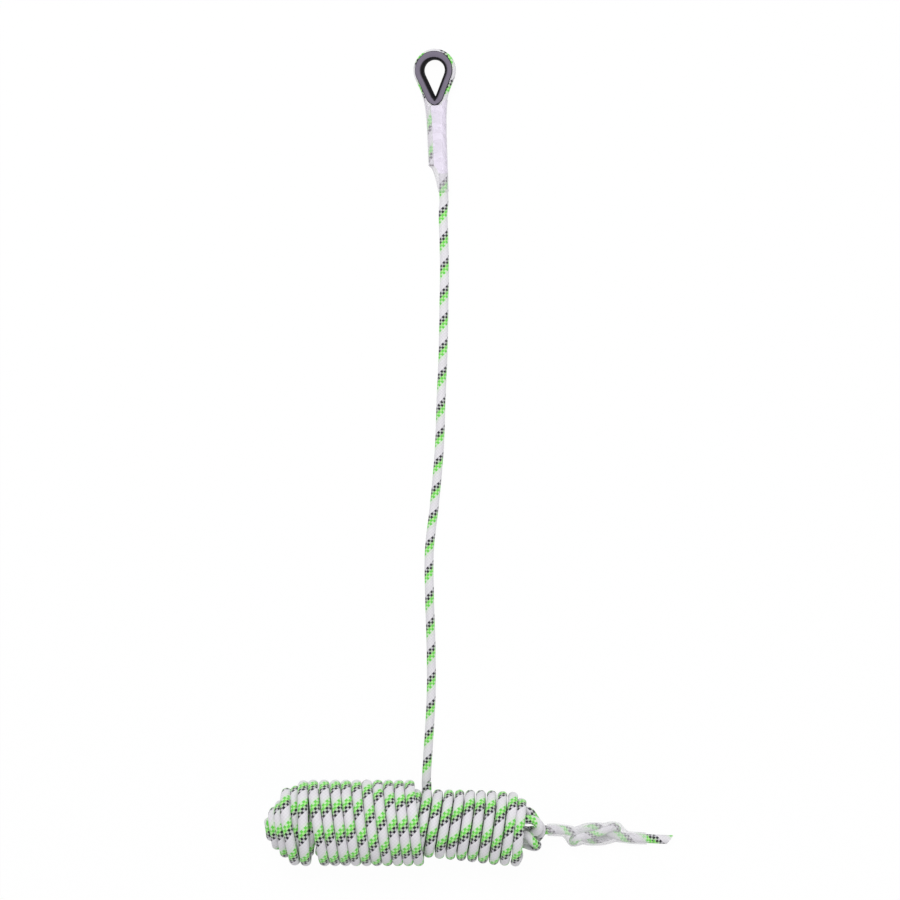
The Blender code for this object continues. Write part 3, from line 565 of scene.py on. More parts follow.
# Label and clear sleeve of the eye.
# A bare lavender-white film is laid round the standing leg, and a clear tube is shrunk over both legs and the
# film. The tube closes to one rope below the short leg's end.
SLEEVE_END, LABEL_END = 0.1495, 0.127
MOUTH_CLEAR = 0.0008  # between the thimble's flanges and the covers
MOUTH_DIP, MOUTH_DIP_HALF_W = 0.0006, 0.005  # below the thimble's point they start lower
EDGE_AT, EDGE_SLANT = 0.0424, 0.37  # their slanting edge over the standing leg
NECK, NECK_POWER = 0.033, 0.45  # how the tube closes to one rope: over what length, and how fast at first


def ease(value):
    value = min(1.0, max(0.0, value))
    return value * value * (3 - 2 * value)


def mouth(x):
    """How far below the thimble's centre the covers start, this far from the eye's axis."""
    edge = FLANGE_TO + TIP_R + MOUTH_CLEAR
    dip = MOUTH_DIP * max(0.0, 1 - x / MOUTH_DIP_HALF_W)
    return TIP_AT + math.sqrt(edge**2 - min(x, edge) ** 2) + dip


def round_legs(angle, share, radius, end):
    """A point of a cover round both legs, at this angle round the nearer leg and this share of the way."""
    right = math.cos(angle) >= 0
    outwards = abs(math.cos(angle))
    reach = leg_offset(TIP_AT + FLANGE_TO) + radius * outwards
    start = mouth(reach if outwards > 0.2 else 0.0)
    if right:
        start = max(start, EDGE_AT - EDGE_SLANT * reach)
    down = start + (end - start) * share
    offset = leg_offset(down)
    closing = 2 * offset * min(1.0, max(0.0, (down - SHORT_LEG_END - 0.0006) / NECK)) ** NECK_POWER
    centre = offset if right else -offset + closing
    slope = (offset - leg_offset(down + 0.001)) / 0.001
    return (centre + radius * math.hypot(1, slope) * math.cos(angle), -down, radius * math.sin(angle))


def rolled_film(name, columns, rows, place, wall, closed):
    """A flat grid whose every point is moved to place(column share, row share), then given its wall."""
    bpy.ops.object.select_all(action="DESELECT")
    bpy.ops.mesh.primitive_grid_add(x_subdivisions=columns, y_subdivisions=rows, size=2.0)
    film = bpy.context.active_object
    film.name = name
    for vertex in film.data.vertices:
        vertex.co = place((vertex.co.x + 1) / 2, (vertex.co.y + 1) / 2)
    bpy.ops.object.mode_set(mode="EDIT")
    bpy.ops.mesh.select_all(action="SELECT")
    if closed:
        bpy.ops.mesh.remove_doubles(threshold=0.00001)
    bpy.ops.mesh.normals_make_consistent(inside=False)
    bpy.ops.object.mode_set(mode="OBJECT")
    solid = film.modifiers.new("wall", "SOLIDIFY")
    solid.thickness = wall
    solid.offset = 1.0
    bpy.ops.object.modifier_apply(modifier=solid.name)
    bpy.ops.object.shade_smooth_by_angle(angle=math.radians(60))
    return film


def wrinkle(*place):
    """A small smooth wander, the same each run."""
    x, y, z = (1000 * value for value in place)
    return (math.sin(0.31 * y + 0.9 * x) + math.sin(0.17 * y - 1.3 * z + 1.0)
            + math.sin(0.53 * y + 0.6 * z + x)) / 3


def bare_film():
    """Bare lavender-white label film, a little cloudy."""
    made, tree, shader = finish_material("bare_film", 0.32)
    lavender = blend_colors(tree, noise(tree, 60.0, 2.0), (0.71, 0.65, 0.77), (0.77, 0.72, 0.83))
    tree.links.new(lavender, shader.inputs["Base Color"])
    tree.links.new(bumped(tree, noise(tree, 160.0, 2.0), 0.0002, 0.12), shader.inputs["Normal"])
    return made


FILM_R = ROPE_R + 0.0003
FILM_ROUND = 0.86  # share of the film's width round the standing leg; the rest reaches to the short one


def label_place(across, down_share):
    angle = math.radians(-90 + 176 * across / FILM_ROUND) if across < FILM_ROUND else math.radians(86)
    point = Vector(round_legs(angle, down_share, FILM_R, LABEL_END))
    if across > FILM_ROUND:
        crest = Vector(round_legs(math.radians(94), down_share, FILM_R, LABEL_END))
        point = point.lerp(crest, 0.85 * (across - FILM_ROUND) / (1 - FILM_ROUND))
    return EYE @ point


label = rolled_film("bare_label", 44, 60, label_place, 0.00025, False)
label.data.materials.append(bare_film())
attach(label, "root")
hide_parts("eye_label")


def clear_tube(name, color, veil):
    """Clear shrunk tube: mostly see-through, with a milky veil and a soft gloss."""
    made, tree, shader = finish_material(name, 0.34)
    shader.inputs["Base Color"].default_value = (*color, 1.0)
    edge = tree.nodes.new("ShaderNodeLayerWeight")
    edge.inputs["Blend"].default_value = 0.35
    cloud = reckon(tree, "MULTIPLY_ADD", noise(tree, 70.0, 1.0), 0.12, veil - 0.06)
    alpha = reckon(tree, "MULTIPLY_ADD", reckon(tree, "POWER", edge.outputs["Facing"], 2.0), 0.30, cloud)
    tree.links.new(alpha, shader.inputs["Alpha"])
    tree.links.new(bumped(tree, noise(tree, 90.0, 1.0), 0.0003, 0.15), shader.inputs["Normal"])
    return made


def sleeve_place(across, down_share):
    angle = math.radians(-90 + 360 * across)
    radius = ROPE_R + 0.0009
    x, y, z = round_legs(angle, down_share, radius, SLEEVE_END)
    ripple = 1 + 0.012 * wrinkle(x, y, z)
    return EYE @ Vector((x * ripple, y, z * ripple))


sleeve = rolled_film("clear_sleeve", 72, 90, sleeve_place, 0.0006, True)
sleeve.data.materials.append(clear_tube("clear_tube", (0.76, 0.73, 0.79), 0.19))
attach(sleeve, "root")
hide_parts("eye_sleeve")


# Straight run.
# The standing part of the rope, from the eye's sleeve down to the hank, loose on the table with slow bends.
RUN = ((-0.0320, 0.3010), (-0.0310, 0.2690), (-0.0303, 0.2320), (-0.0309, 0.1950), (-0.0320, 0.1330),
       (-0.0345, 0.0715), (-0.0368, 0.0097), (-0.0428, -0.0582), (-0.0490, -0.1150), (-0.0486, -0.1755),
       (-0.0468, -0.2370), (-0.0470, -0.2990))
FOOT_X, FOOT_Y = -0.0523, -0.4000
RUN_FALL = 0.060  # length over which the run comes down to the table
RUN_BANDS = ((444, 212.7), (440, 375.8), (439, 408.3), (432, 626.0), (428, 763.4))  # pixels, as on the eye
FLAT_Z = 0.0044  # centre line of a turn that lies flattened on the table


def smooth(points, step):
    """Points a step apart on a smooth curve through the chosen ones."""
    p = np.asarray(points, float)
    p = np.vstack([2 * p[0] - p[1], p, 2 * p[-1] - p[-2]])
    t = np.linspace(0, 1, 24, endpoint=False)[:, None]
    fine = []
    for a, b, c, d in zip(p, p[1:], p[2:], p[3:]):
        second, third = 2 * a - 5 * b + 4 * c - d, 3 * b - a - 3 * c + d
        fine.append(0.5 * (2 * b + (c - a) * t + second * t**2 + third * t**3))
    return even(np.vstack([*fine, p[-2:-1]]), step)


run_start = eye_line[-1]
run_way = (eye_line[-1] - eye_line[-3]) / np.linalg.norm(eye_line[-1] - eye_line[-3])
run_points = [run_start, run_start + run_way * 0.011]
for x, y in RUN:
    share = ease((run_start[1] - LAYOUT[1] - y) / RUN_FALL)
    run_points.append(np.array((x, y, run_start[2] + (ROPE_R - run_start[2]) * share)) + LAYOUT)
run_points += [LAYOUT + (FOOT_X, FOOT_Y + 0.011, ROPE_R), LAYOUT + (FOOT_X, FOOT_Y, ROPE_R)]
run_line = smooth(run_points, 0.0015)
run_line[:, 2] = np.maximum(run_line[:, 2], ROPE_R)
run_marks = seen_marks(run_line, RUN_BANDS)
free_run = rope("straight_run", run_line, EYE_ROPE_PHASE, run_marks, sides=LOOSE_SIDES)
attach(free_run, "root")
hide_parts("free_run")


# Outer wraps.
# The rope passes under the hank and winds over its left part towards the left end, which the last turns close
# as a dome. The turns are pulled tight, so they are pressed a little oval.
OUTER_HALF_W, OUTER_HALF_H = 0.0473, 0.0405
HANK_Z = FLAT_Z + OUTER_HALF_H
OUTER_X, OUTER_TURNS, OUTER_PITCH, OUTER_LEAN = -0.0614, 10, 0.01275, 0.0115
# Front x, back x, how far the top bows, then half width and half height at the front and at the back
END_TURNS = ((-0.1993, -0.2025, 0.0, (0.0473, 0.0405), (0.0465, 0.0405)),
             (-0.2127, -0.2228, -0.0030, (0.0465, 0.0385), (0.0373, 0.0385)),
             (-0.2243, -0.2308, -0.0018, (0.0370, 0.0298), (0.0215, 0.0298)),
             (-0.2343, -0.2378, -0.0013, (0.0275, 0.0212), (0.0140, 0.0212)),
             (-0.2412, -0.2430, -0.0010, (0.0170, 0.0122), (0.0010, 0.0122)))
POINTS_A_TURN = 96
DIVE_EARLY = 12  # points of the last turn that the dive into the left end replaces


def on_turn(x, angle, half_w, half_h, y=HANK_Y, z=HANK_Z):
    """A point of a wrap: the angle runs from under the hank up its front, over the top and down its back."""
    return np.array((x, y - half_w * math.sin(angle), z - half_h * math.cos(angle)))


def outer_turn(i):
    if i >= OUTER_TURNS:
        return END_TURNS[i - OUTER_TURNS]
    front = OUTER_X - OUTER_PITCH * i
    size = (OUTER_HALF_W, OUTER_HALF_H)
    return front, front - OUTER_LEAN - 0.0002 * i - 0.0006 * max(0, i - 7), 0.0, size, size


def between(one, two, share):
    return tuple(a + (b - a) * share for a, b in zip(one, two))


def wind(turn_of, numbers, point_of):
    """Turns of these numbers: over the top from front to back, then under to the next turn's front."""
    half = POINTS_A_TURN // 2
    path = []
    for i in numbers:
        front, back, bow, front_size, back_size = turn_of(i)
        for k in range(half + 1):
            angle = math.radians(90) + math.pi * k / half
            share = (1 - math.sin(angle)) / 2
            x = front + (back - front) * share + 6.75 * bow * share**2 * (1 - share)
            path.append(point_of(x, angle, between(front_size, back_size, share)))
        if i == numbers[-1]:
            break
        next_front, _, _, next_size, _ = turn_of(i + 1)
        for k in range(1, half):
            angle = math.radians(270) + math.pi * k / half
            share = (1 + math.sin(angle)) / 2
            x = back + (next_front - back) * share
            path.append(point_of(x, angle, between(back_size, next_size, k / half)))
    return path


def band_marks(turns, heights):
    """Where the bands lie on a winding: for each turn, how far down the picture its upper side turns from
    black to green, the lower place first. Gives the places on the turns' centre line."""
    marks = []
    for i, turn_heights in enumerate(heights):
        top = np.array(turns[POINTS_A_TURN * i:POINTS_A_TURN * i + POINTS_A_TURN // 2])
        angles = math.pi / 2 + 2 * math.pi * np.arange(len(top)) / POINTS_A_TURN
        crest = top + ROPE_R * np.stack([0 * angles, -np.sin(angles), -np.cos(angles)], 1) + LAYOUT
        seen = in_picture(crest)[:, 1]
        marks += [top[np.argmin(np.abs(seen - height))] + LAYOUT for height in turn_heights]
    return marks


def bridge(start, start_pull, end, end_pull, count):
    """Points of a curve from start, along start_pull, to end, along end_pull, without the ends."""
    t = np.linspace(0, 1, count + 2)[1:-1, None]
    start, start_pull, end, end_pull = map(np.asarray, (start, start_pull, end, end_pull))
    return ((2 * t**3 - 3 * t**2 + 1) * start + (t**3 - 2 * t**2 + t) * start_pull
            + (3 * t**2 - 2 * t**3) * end + (t**3 - t**2) * end_pull)


outer_foot = [(FOOT_X, FOOT_Y, ROPE_R), (FOOT_X, FOOT_Y - 0.011, ROPE_R),
              (FOOT_X - 0.0014, FOOT_Y - 0.022, FLAT_Z), (FOOT_X - 0.0032, HANK_Y + 0.010, FLAT_Z)]
for k in range(6):
    angle = math.radians(15 * k)
    x = FOOT_X - 0.005 + (OUTER_X - FOOT_X + 0.005) * math.sin(angle)
    outer_foot.append(on_turn(x, angle, OUTER_HALF_W, OUTER_HALF_H))
outer_turns = wind(outer_turn, range(OUTER_TURNS + len(END_TURNS)),
                   lambda x, angle, size: on_turn(x, angle, *size))[:-DIVE_EARLY]
# Heights in the picture of the bands on each turn, from the right, and the pixel of the one before them
OUTER_BANDS = ((827.0, 798.3, 782.9), (827.3, 801.5, 782.9), (828.5, 799.8, 782.9), (820.9, 792.2, 781.6),
               (842.6, 814.4, 788.7), (837.1, 808.3, 785.9), (834.1, 805.8, 784.4), (836.1, 807.1, 785.7),
               (836.6, 807.1, 785.8), (837.1, 807.3, 786.2), (834.7, 807.7, 785.8), (828.9, 802.0),
               (831.1, 805.9), (831.2,), (829.8,))
FOOT_BAND = (427, 790.8)
outer_marks = band_marks(outer_turns, OUTER_BANDS)
outer_dive = np.array((HIDDEN_LEFT_X - 0.0113, HANK_Y + 0.004, HANK_Z - 0.002))
dive_end = outer_dive + (0.011, 0, 0)
outer_line = np.vstack([smooth([*outer_foot, outer_turns[0]], 0.003)[:-1], outer_turns,
                        bridge(outer_turns[-1], (0.002, 0.003, -0.020), outer_dive, (0.028, 0, 0), 20),
                        [outer_dive, outer_dive + (0.0055, 0, 0), dive_end]]) + LAYOUT
outer_line = even(outer_line, 0.0021)
BEFORE_OUTER = EYE_ROPE_PHASE + length_of(run_line)
outer_marks = seen_marks(outer_line[:14], [FOOT_BAND]) + outer_marks
pressed = 1.08 + 0.075 * np.clip(1 + 2 * (outer_line[:, 2] - HANK_Z) / OUTER_HALF_H, 0, 1)
outer = rope("outer_turns", outer_line, BEFORE_OUTER, outer_marks, sides=20, wide=pressed, deep=0.96)
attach(outer, "root")
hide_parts("outer_wraps")


# Inner wraps, and the hidden ones.
# From the left end the rope winds back under the outer turns, and comes out from under them at the right.
INNER_X, INNER_TURNS, INNER_PITCH, INNER_LEAN = -0.0495, 9, 0.01325, 0.0117
CLOSE = 2 * ROPE_R + 0.0005
DRIFT_FROM, HANK_DRIFT = -0.060, 0.074  # from here rightwards the hank's middle moves towards -Y
INNER_SWELL_TO, INNER_HALF_W, INNER_TOP = 0.030, 0.0400, 0.0720
LAST_DRAWN_IN = 0.0080
LAST_BULGE, BULGE_POINTS = 0.0042, 18  # the last turn comes from further right under the hank
HIDDEN_TO_X = -0.0845


def hank_y(x):
    return HANK_Y - HANK_DRIFT * max(0.0, x - DRIFT_FROM)


def inner_section(x):
    """Half width, half height and centre height of the inner turns at this x."""
    swell = min(1.0, max(0.0, (x - OUTER_X) / (INNER_SWELL_TO - OUTER_X)))
    under_outer = OUTER_HALF_W - CLOSE
    half_w = under_outer + (INNER_HALF_W - under_outer) * swell
    half_w -= LAST_DRAWN_IN * ease((x - INNER_X - INNER_PITCH * (INNER_TURNS - 1)) / 0.010)
    top = HANK_Z + OUTER_HALF_H - CLOSE
    top += (INNER_TOP - top) * swell
    bottom = FLAT_Z + CLOSE * (1 - ease((x - INNER_X) / (2.5 * INNER_PITCH)))
    return half_w, (top - bottom) / 2, (top + bottom) / 2


def on_inner(x, angle):
    half_w, half_h, z = inner_section(x)
    return on_turn(x, angle, half_w, half_h, hank_y(x), z)


FIRST_HIDDEN = -11


def inner_turn(i):
    """Turn i of the inner layer, the first two with sizes. The first of all lies between two outer turns."""
    if i == FIRST_HIDDEN:
        return -0.2050, -0.2118, -0.0024, (0.0352, 0.0300), (0.0400, 0.0315)
    front = INNER_X + INNER_PITCH * (i - 1)
    size = (OUTER_HALF_W - CLOSE, OUTER_HALF_H - CLOSE) if i == FIRST_HIDDEN + 1 else ()
    return front, front + INNER_LEAN - 0.00015 * max(0, i) - 0.003 * (i == INNER_TURNS), 0.0, size, size


CORE_STEP = 0.0122
CORE_IN_X = 0.040
wound = wind(inner_turn, range(FIRST_HIDDEN, INNER_TURNS + 1),
             lambda x, angle, size: on_turn(x, angle, *size) if size else on_inner(x, angle))
for k in range(1, BULGE_POINTS):
    wound[-POINTS_A_TURN // 2 - 1 - k][0] += LAST_BULGE * math.sin(math.pi * k / BULGE_POINTS) ** 2
# Heights in the picture of the bands on each turn, from the left
FIRST_BANDS = ((830.8, 808.9),)
INNER_BANDS = ((833.7, 805.2), (838.4, 809.5), (844.7, 815.8), (841.6, 813.7), (833.7, 804.7),
               (833.7, 804.7), (839.4, 808.4), (845.2, 815.8), (827.9, 801.6), (830.0, 802.1))
first_marks = band_marks(wound, FIRST_BANDS)
inner_marks = band_marks(wound[-FIRST_HIDDEN * POINTS_A_TURN:], INNER_BANDS)
core_entry = np.array((CORE_IN_X + 0.011, hank_y(CORE_IN_X), HANK_Z - 2 * CORE_STEP))
low_points = [on_inner(wound[-1][0] + 0.0006, math.radians(angle)) for angle in (279, 288, 296, 304)]
turn_in = [*low_points, *bridge(low_points[-1], (0.004, -0.022, -0.015), core_entry, (-0.026, 0, 0), 12)]
inner_end = [core_entry, core_entry - (0.0055, 0, 0), core_entry - (0.011, 0, 0)]
spread = bridge(dive_end, (0.030, 0, 0), wound[0], (0, -0.004, 0.030), 14)
all_inner = even(np.vstack([[dive_end], spread, wound, turn_in, inner_end]) + LAYOUT, 0.0021)
split = int(np.argmax(all_inner[:, 0] - LAYOUT[0] > HIDDEN_TO_X))
BEFORE_HIDDEN = BEFORE_OUTER + length_of(outer_line)
BEFORE_INNER = BEFORE_HIDDEN + length_of(all_inner[:split + 1])
for name, line, before, marks, node in (
        ("hidden_turns", all_inner[:split + 1], BEFORE_HIDDEN, first_marks, "hidden_wraps"),
        ("inner_turns", all_inner[split:], BEFORE_INNER, inner_marks, "inner_wraps")):
    winding = rope(name, line, before, marks, sides=20, wide=1.08, deep=0.97)
    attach(winding, "root")
    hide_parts(node)


# Core of the hank.
# Inside the turns the rope is folded to and fro. Three of its bights show at the right, beside the tail.
LEFT_X, RIGHT_X = HIDDEN_LEFT_X + 0.028, 0.052
TAIL_START = np.array((0.0803, -0.4562, 0.0262))
TO_TAIL = ((0.0570, -0.4470, 0.0290), (0.0630, -0.4540, 0.0265), (0.0710, -0.4572, 0.0260))
# Each run's side and height in steps of CORE_STEP, then its left end and its right end
CORE_RUNS = ((0, -2, -0.015, CORE_IN_X - 0.022), (-1.7, -2, -0.015, RIGHT_X),
             (-1.2, 0, LEFT_X - 0.006, RIGHT_X - 0.006), (1.8, 0, LEFT_X - 0.006, RIGHT_X),
             (-0.95, -1.5, LEFT_X, RIGHT_X), (1, 1, LEFT_X, RIGHT_X), (-0.35, -0.7, LEFT_X, RIGHT_X),
             (0.9, -1.2, LEFT_X, RIGHT_X))
LOWER_BIGHT = ((0.0600, -0.4715, 0.0205), (0.0690, -0.4740, 0.0208), (0.0765, -0.4765, 0.0222),
               (0.0815, -0.4765, 0.0270), (0.0832, -0.4735, 0.0345), (0.0807, -0.4703, 0.0420),
               (0.0763, -0.4668, 0.0462), (0.0695, -0.4598, 0.0478), (0.0600, -0.4610, 0.0465))
UPPER_BIGHT = ((0.0620, -0.4318, 0.0440), (0.0682, -0.4313, 0.0430), (0.0720, -0.4316, 0.0425),
               (0.0757, -0.4340, 0.0420), (0.0785, -0.4385, 0.0415), (0.0822, -0.4440, 0.0410),
               (0.0862, -0.4493, 0.0400), (0.0882, -0.4535, 0.0390), (0.0868, -0.4600, 0.0350),
               (0.0825, -0.4660, 0.0290), (0.0760, -0.4683, 0.0265), (0.0660, -0.4675, 0.0270))
INNER_BIGHT = ((0.0600, -0.4410, 0.0571), (0.0668, -0.4404, 0.0570), (0.0744, -0.4398, 0.0565),
               (0.0819, -0.4428, 0.0555), (0.0850, -0.4490, 0.0535), (0.0828, -0.4550, 0.0485),
               (0.0776, -0.4595, 0.0390), (0.0735, -0.4620, 0.0358), (0.0680, -0.4640, 0.0358),
               (0.0600, -0.4615, 0.0362))
BIGHTS = {1: LOWER_BIGHT, 3: UPPER_BIGHT, 5: INNER_BIGHT}
core = [core_entry - (0.011, 0, 0), core_entry - (0.022, 0, 0)]
for i, (side, level, x_left, x_right) in enumerate(CORE_RUNS):
    leftwards = i % 2 == 0
    first, last = (x_right, x_left) if leftwards else (x_left, x_right)
    stretch = [(x, hank_y(x) + side * CORE_STEP, HANK_Z + level * CORE_STEP)
               for x in np.linspace(first, last, max(3, round(abs(last - first) / 0.012)))]
    if i - 1 in BIGHTS:
        core += list(smooth([core[-1], *BIGHTS[i - 1], stretch[0]], 0.0024)[1:-1])
    core += stretch
    if i in BIGHTS or i == len(CORE_RUNS) - 1:
        continue
    next_side, next_level = CORE_RUNS[i + 1][:2]
    here = np.array(core[-1])
    across = np.array((0, next_side - side, next_level - level)) * CORE_STEP
    out = (-1 if leftwards else 1) * np.linalg.norm(across) / 2
    for k in range(1, 16):
        turn = math.pi * k / 16
        core.append(here + across * (1 - math.cos(turn)) / 2 + np.array((out * math.sin(turn), 0, 0)))
to_tail = smooth([core[-1], *TO_TAIL, TAIL_START], 0.0024)
core_line = even(np.vstack([core, to_tail[1:]]) + LAYOUT, 0.0024)
core_marks = [np.array(place) + LAYOUT
              for place in (LOWER_BIGHT[5], (0.0500, -0.4314, 0.0449), INNER_BIGHT[2], TO_TAIL[0])]
BEFORE_CORE = BEFORE_INNER + length_of(all_inner[split:])
core_rope = rope("folded_core", core_line, BEFORE_CORE, core_marks, sides=24)
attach(core_rope, "root")
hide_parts("core_hank")


# Tail with its stopper knot.
# The tail has an overhand knot, pulled tight, that keeps a device from running off the end.
TAIL_IN = ((0.0990, -0.4560, 0.0252), (0.1080, -0.4567, 0.0190))
KNOT_AT = np.array((0.1524, -0.4624, 0.0149))
KNOT_D, KNOT_REACH = 0.0088, 0.034
# The knot's chosen points from its middle: in, round the tail, back over itself, round the rope and out
KNOT = ((-0.0357, 0.0046, 0.0004), (-0.0287, 0.0032, 0.0008), (-0.0223, 0.0010, 0.0008),
        (-0.0163, -0.0030, -0.0003), (-0.0094, -0.0064, -0.0036), (-0.0008, -0.0083, -0.0066),
        (0.0070, -0.0080, -0.0082), (0.0149, -0.0064, -0.0090), (0.0212, -0.0042, -0.0092),
        (0.0265, -0.0012, -0.0090), (0.0295, 0.0028, -0.0066), (0.0285, 0.0072, -0.0022),
        (0.0242, 0.0093, 0.0028), (0.0187, 0.0074, 0.0062), (0.0120, 0.0040, 0.0068),
        (0.0043, 0.0010, 0.0052), (-0.0034, -0.0006, 0.0050), (-0.0099, -0.0012, 0.0070),
        (-0.0153, -0.0022, 0.0098), (-0.0198, -0.0050, 0.0099), (-0.0230, -0.0086, 0.0052),
        (-0.0246, -0.0099, -0.0016), (-0.0246, -0.0081, -0.0068), (-0.0224, -0.0044, -0.0090),
        (-0.0177, -0.0002, -0.0092), (-0.0124, 0.0029, -0.0078), (-0.0072, 0.0056, -0.0058),
        (-0.0009, 0.0075, -0.0048), (0.0055, 0.0080, -0.0046), (0.0118, 0.0063, -0.0044),
        (0.0171, 0.0033, -0.0032), (0.0222, 0.0002, 0.0002), (0.0281, -0.0019, 0.0014),
        (0.0357, -0.0037, -0.0010), (0.0436, -0.0049, -0.0036))
TAIL_OUT = ((0.2060, -0.4680, 0.0088), (0.2150, -0.4687, 0.0082), (0.2262, -0.4692, 0.0082))

tail_points = [TAIL_START + (0.011, 0, 0), *TAIL_IN, *(np.array(KNOT) + KNOT_AT), *TAIL_OUT]
tail_line = even(np.vstack([TAIL_START, smooth(tail_points, 0.0006)]), 0.0012) + LAYOUT
knotted = [ease((KNOT_REACH - abs(x - LAYOUT[0] - KNOT_AT[0])) / 0.012) for x in tail_line[:, 0]]
tail_r = ROPE_R * (1 - (1 - KNOT_D / (2 * ROPE_R)) * np.array(knotted))
BEFORE_TAIL = BEFORE_CORE + length_of(core_line)
# Pixels of its bands, as on the eye: at its start, before the knot and after it
START_BAND, BAND_BEFORE_KNOT, BAND_AFTER_KNOT = (545.3, 829.1), (570.4, 827.8), (624.4, 838.0)
tail_marks = seen_marks(tail_line[:20], [START_BAND]) + seen_marks(tail_line[:40], [BAND_BEFORE_KNOT])
tail_marks += [KNOT_AT + KNOT[28] + LAYOUT, *seen_marks(tail_line[-40:], [BAND_AFTER_KNOT])]
tail = rope("knotted_tail", tail_line, BEFORE_TAIL, tail_marks, sides=LOOSE_SIDES, radius=tail_r, flip=True)
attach(tail, "root")
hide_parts("tail_rope")


# Clear sleeve of the tail.
# The same clear tube, shrunk tight over the knot so that it shows the knot's outline.
TAIL_SLEEVE = (0.0964, 0.2185)
TUBE_ROWS, TUBE_COLUMNS = 70, 48
TUBE_R, TUBE_CLEAR = 0.0070, 0.0007  # least radius inside, and clearance to the rope
fine_tail = even(tail_line, 0.0008)
fine_r = np.interp(np.linspace(0, 1, len(fine_tail)), np.linspace(0, 1, len(tail_r)), tail_r)


def tail_section(x):
    """Middle of the rope that passes near this x, and the points whose outline the tube follows there."""
    off = np.maximum(0, np.abs(fine_tail[:, 0] - x) - 0.0035)
    here = off < fine_r
    middle = (fine_tail[here, 1:].min(0) + fine_tail[here, 1:].max(0)) / 2
    return middle, fine_tail[here, 1:] - middle, np.sqrt(fine_r[here] ** 2 - off[here] ** 2)


SECTIONS = [tail_section(LAYOUT[0] + TAIL_SLEEVE[0] + (TAIL_SLEEVE[1] - TAIL_SLEEVE[0]) * i / TUBE_ROWS)
            for i in range(TUBE_ROWS + 1)]
OUTLINE = np.array([[max(TUBE_R, float((away @ (math.cos(a), math.sin(a)) + reach).max()) + TUBE_CLEAR)
                     for a in np.linspace(0, 2 * math.pi, TUBE_COLUMNS + 1)] for _, away, reach in SECTIONS])
MIDDLE = np.array([middle for middle, _, _ in SECTIONS])
for _ in range(5):
    OUTLINE[1:-1] = (OUTLINE[:-2] + OUTLINE[1:-1] * 2 + OUTLINE[2:]) / 4
    MIDDLE[1:-1] = (MIDDLE[:-2] + MIDDLE[1:-1] * 2 + MIDDLE[2:]) / 4


def tail_sleeve_place(across, share):
    row = min(TUBE_ROWS, round(share * TUBE_ROWS))
    column = min(TUBE_COLUMNS, round(across * TUBE_COLUMNS))
    angle = 2 * math.pi * column / TUBE_COLUMNS
    x = LAYOUT[0] + TAIL_SLEEVE[0] + (TAIL_SLEEVE[1] - TAIL_SLEEVE[0]) * share
    radius = OUTLINE[row][column]
    z = MIDDLE[row][1] + radius * math.sin(angle)
    return x, MIDDLE[row][0] + radius * math.cos(angle), max(z, 0.0007)


tail_sleeve = rolled_film("knot_sleeve", TUBE_COLUMNS, TUBE_ROWS, tail_sleeve_place, 0.0006, True)
# The tail's tube is paler than the eye's: partly its own milky colour, partly painted light that makes up for
# the light its walls keep from the rope inside
tail_sleeve.data.materials.append(clear_tube("clear_tail_tube", (0.86, 0.84, 0.88), 0.20))
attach(tail_sleeve, "root")
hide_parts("tail_sleeve")


# Cut end.
# The tail's last stretch is bare: the woven sheath round seven twisted cords, all cut through on a slant.
END_LENGTH, CUT_ANGLE, SHEATH_WALL, CORD_R = 0.0210, 36.0, 0.0013, 0.00125
CORDS_ROUND, STRAND_R = 6, 0.00062  # cords round the middle one, and radius of each cord's three strands
END_BAND = (653.4, 839.7)  # pixel, as on the eye
end_way = tail_line[-1] - tail_line[-4]
end_turn = Euler((0, -math.asin(end_way[2] / np.linalg.norm(end_way)), math.atan2(end_way[1], end_way[0])))
END = Matrix.Translation(Vector(tail_line[-1])) @ end_turn.to_matrix().to_4x4()
CUT_NORMAL = END.to_3x3() @ (Matrix.Rotation(math.radians(-CUT_ANGLE), 3, "Z") @ Vector((1, 0, 0)))
CUT_POINT = END @ Vector((END_LENGTH, 0, 0))


def cut_slanting(obj):
    """Cuts the piece through at the slanted plane and closes it there."""
    only(obj)
    bpy.ops.object.mode_set(mode="EDIT")
    bpy.ops.mesh.select_all(action="SELECT")
    bpy.ops.mesh.bisect(plane_co=CUT_POINT, plane_no=CUT_NORMAL, use_fill=True, clear_outer=True)
    bpy.ops.object.mode_set(mode="OBJECT")


def cut_yarn():
    """Off-white core yarn, finely fibrous."""
    made, tree, shader = finish_material("cut_yarn", 0.8)
    fibres = noise(tree, 2200.0, 4.0)
    pale = blend_colors(tree, fibres, (0.58, 0.56, 0.55), (0.88, 0.86, 0.85))
    tree.links.new(pale, shader.inputs["Base Color"])
    tree.links.new(bumped(tree, fibres, 0.0002), shader.inputs["Normal"])
    return made


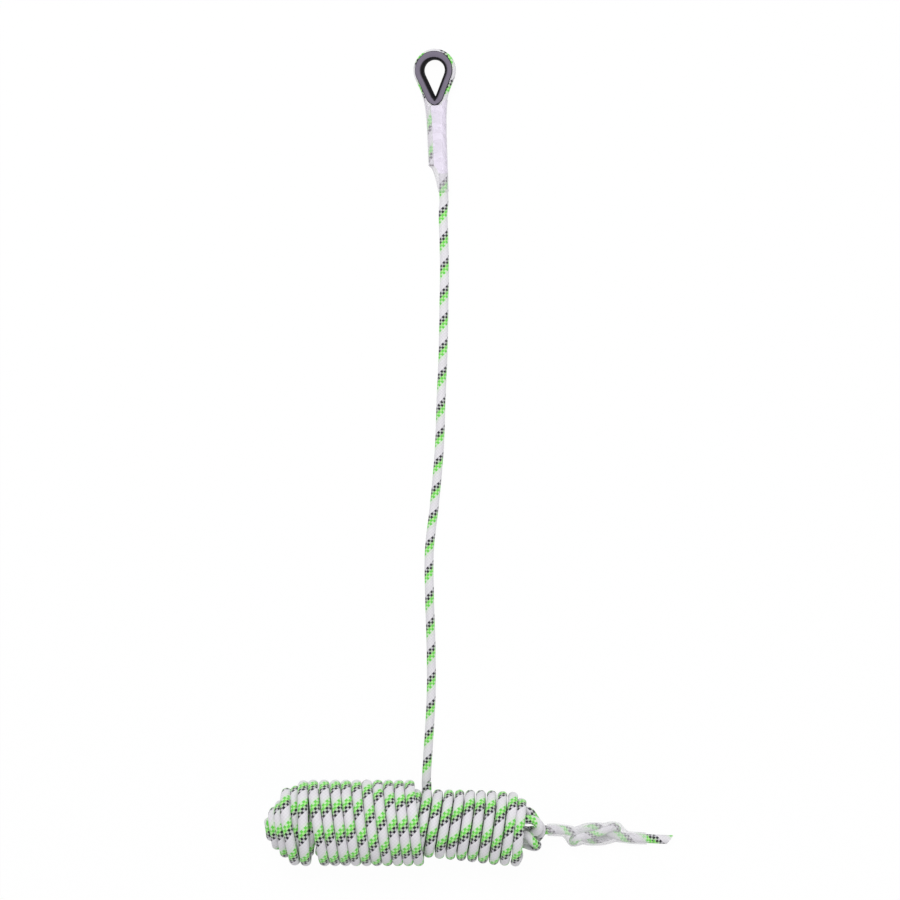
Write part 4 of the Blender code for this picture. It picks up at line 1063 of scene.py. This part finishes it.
end_line = in_row([(0.0003 + 0.001 * i, 0, 0) for i in range(33)], END)
end_sheath = rope("end_sheath_woven", end_line, BEFORE_TAIL + length_of(tail_line),
                  seen_marks(end_line, [END_BAND]), sides=LOOSE_SIDES, flip=True)
only(end_sheath)
bpy.ops.object.mode_set(mode="EDIT")
bpy.ops.mesh.select_mode(type="FACE")
bpy.ops.mesh.select_all(action="DESELECT")
bpy.ops.object.mode_set(mode="OBJECT")
for face in end_sheath.data.polygons:
    face.select = len(face.vertices) > 4
bpy.ops.object.mode_set(mode="EDIT")
bpy.ops.mesh.delete(type="ONLY_FACE")
bpy.ops.object.mode_set(mode="OBJECT")
sheath_wall = end_sheath.modifiers.new("wall", "SOLIDIFY")
sheath_wall.thickness = SHEATH_WALL
sheath_wall.offset = -1.0
bpy.ops.object.modifier_apply(modifier=sheath_wall.name)
cut_slanting(end_sheath)
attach(end_sheath, "root")
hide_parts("end_sheath")

yarn = cut_yarn()
ring_r = ROPE_R - SHEATH_WALL - 0.00015 - CORD_R
for i in range(CORDS_ROUND + 1):
    angle = 2 * math.pi * i / CORDS_ROUND
    y, z = (0.0, 0.0) if i == CORDS_ROUND else (ring_r * math.cos(angle), ring_r * math.sin(angle))
    strands = []
    for strand in range(3):
        points = []
        for k in range(34):
            turn = 2 * math.pi * (strand / 3 + k / 12)
            off_y, off_z = STRAND_R * math.cos(turn), STRAND_R * math.sin(turn)
            points.append(END @ Vector((0.0003 + 0.00095 * k, y + off_y, z + off_z)))
        piece = poly_curve(f"cord_{i + 1}_strand_{strand + 1}", points, False, False)
        piece.data.bevel_depth = STRAND_R
        piece.data.bevel_resolution = 2
        piece.data.use_fill_caps = True
        only(piece)
        bpy.ops.object.convert(target="MESH")
        strands.append(bpy.context.active_object)
        cut_slanting(strands[-1])
    bpy.ops.object.select_all(action="DESELECT")
    for piece in strands:
        piece.select_set(True)
    bpy.context.view_layer.objects.active = strands[0]
    bpy.ops.object.join()
    cord = bpy.context.active_object
    cord.name = f"twisted_cord_{i + 1}"
    bpy.ops.object.shade_smooth_by_angle(angle=math.radians(50))
    cord.data.materials.append(yarn)
    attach(cord, "root")
    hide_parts(f"core_cord_{i + 1}")
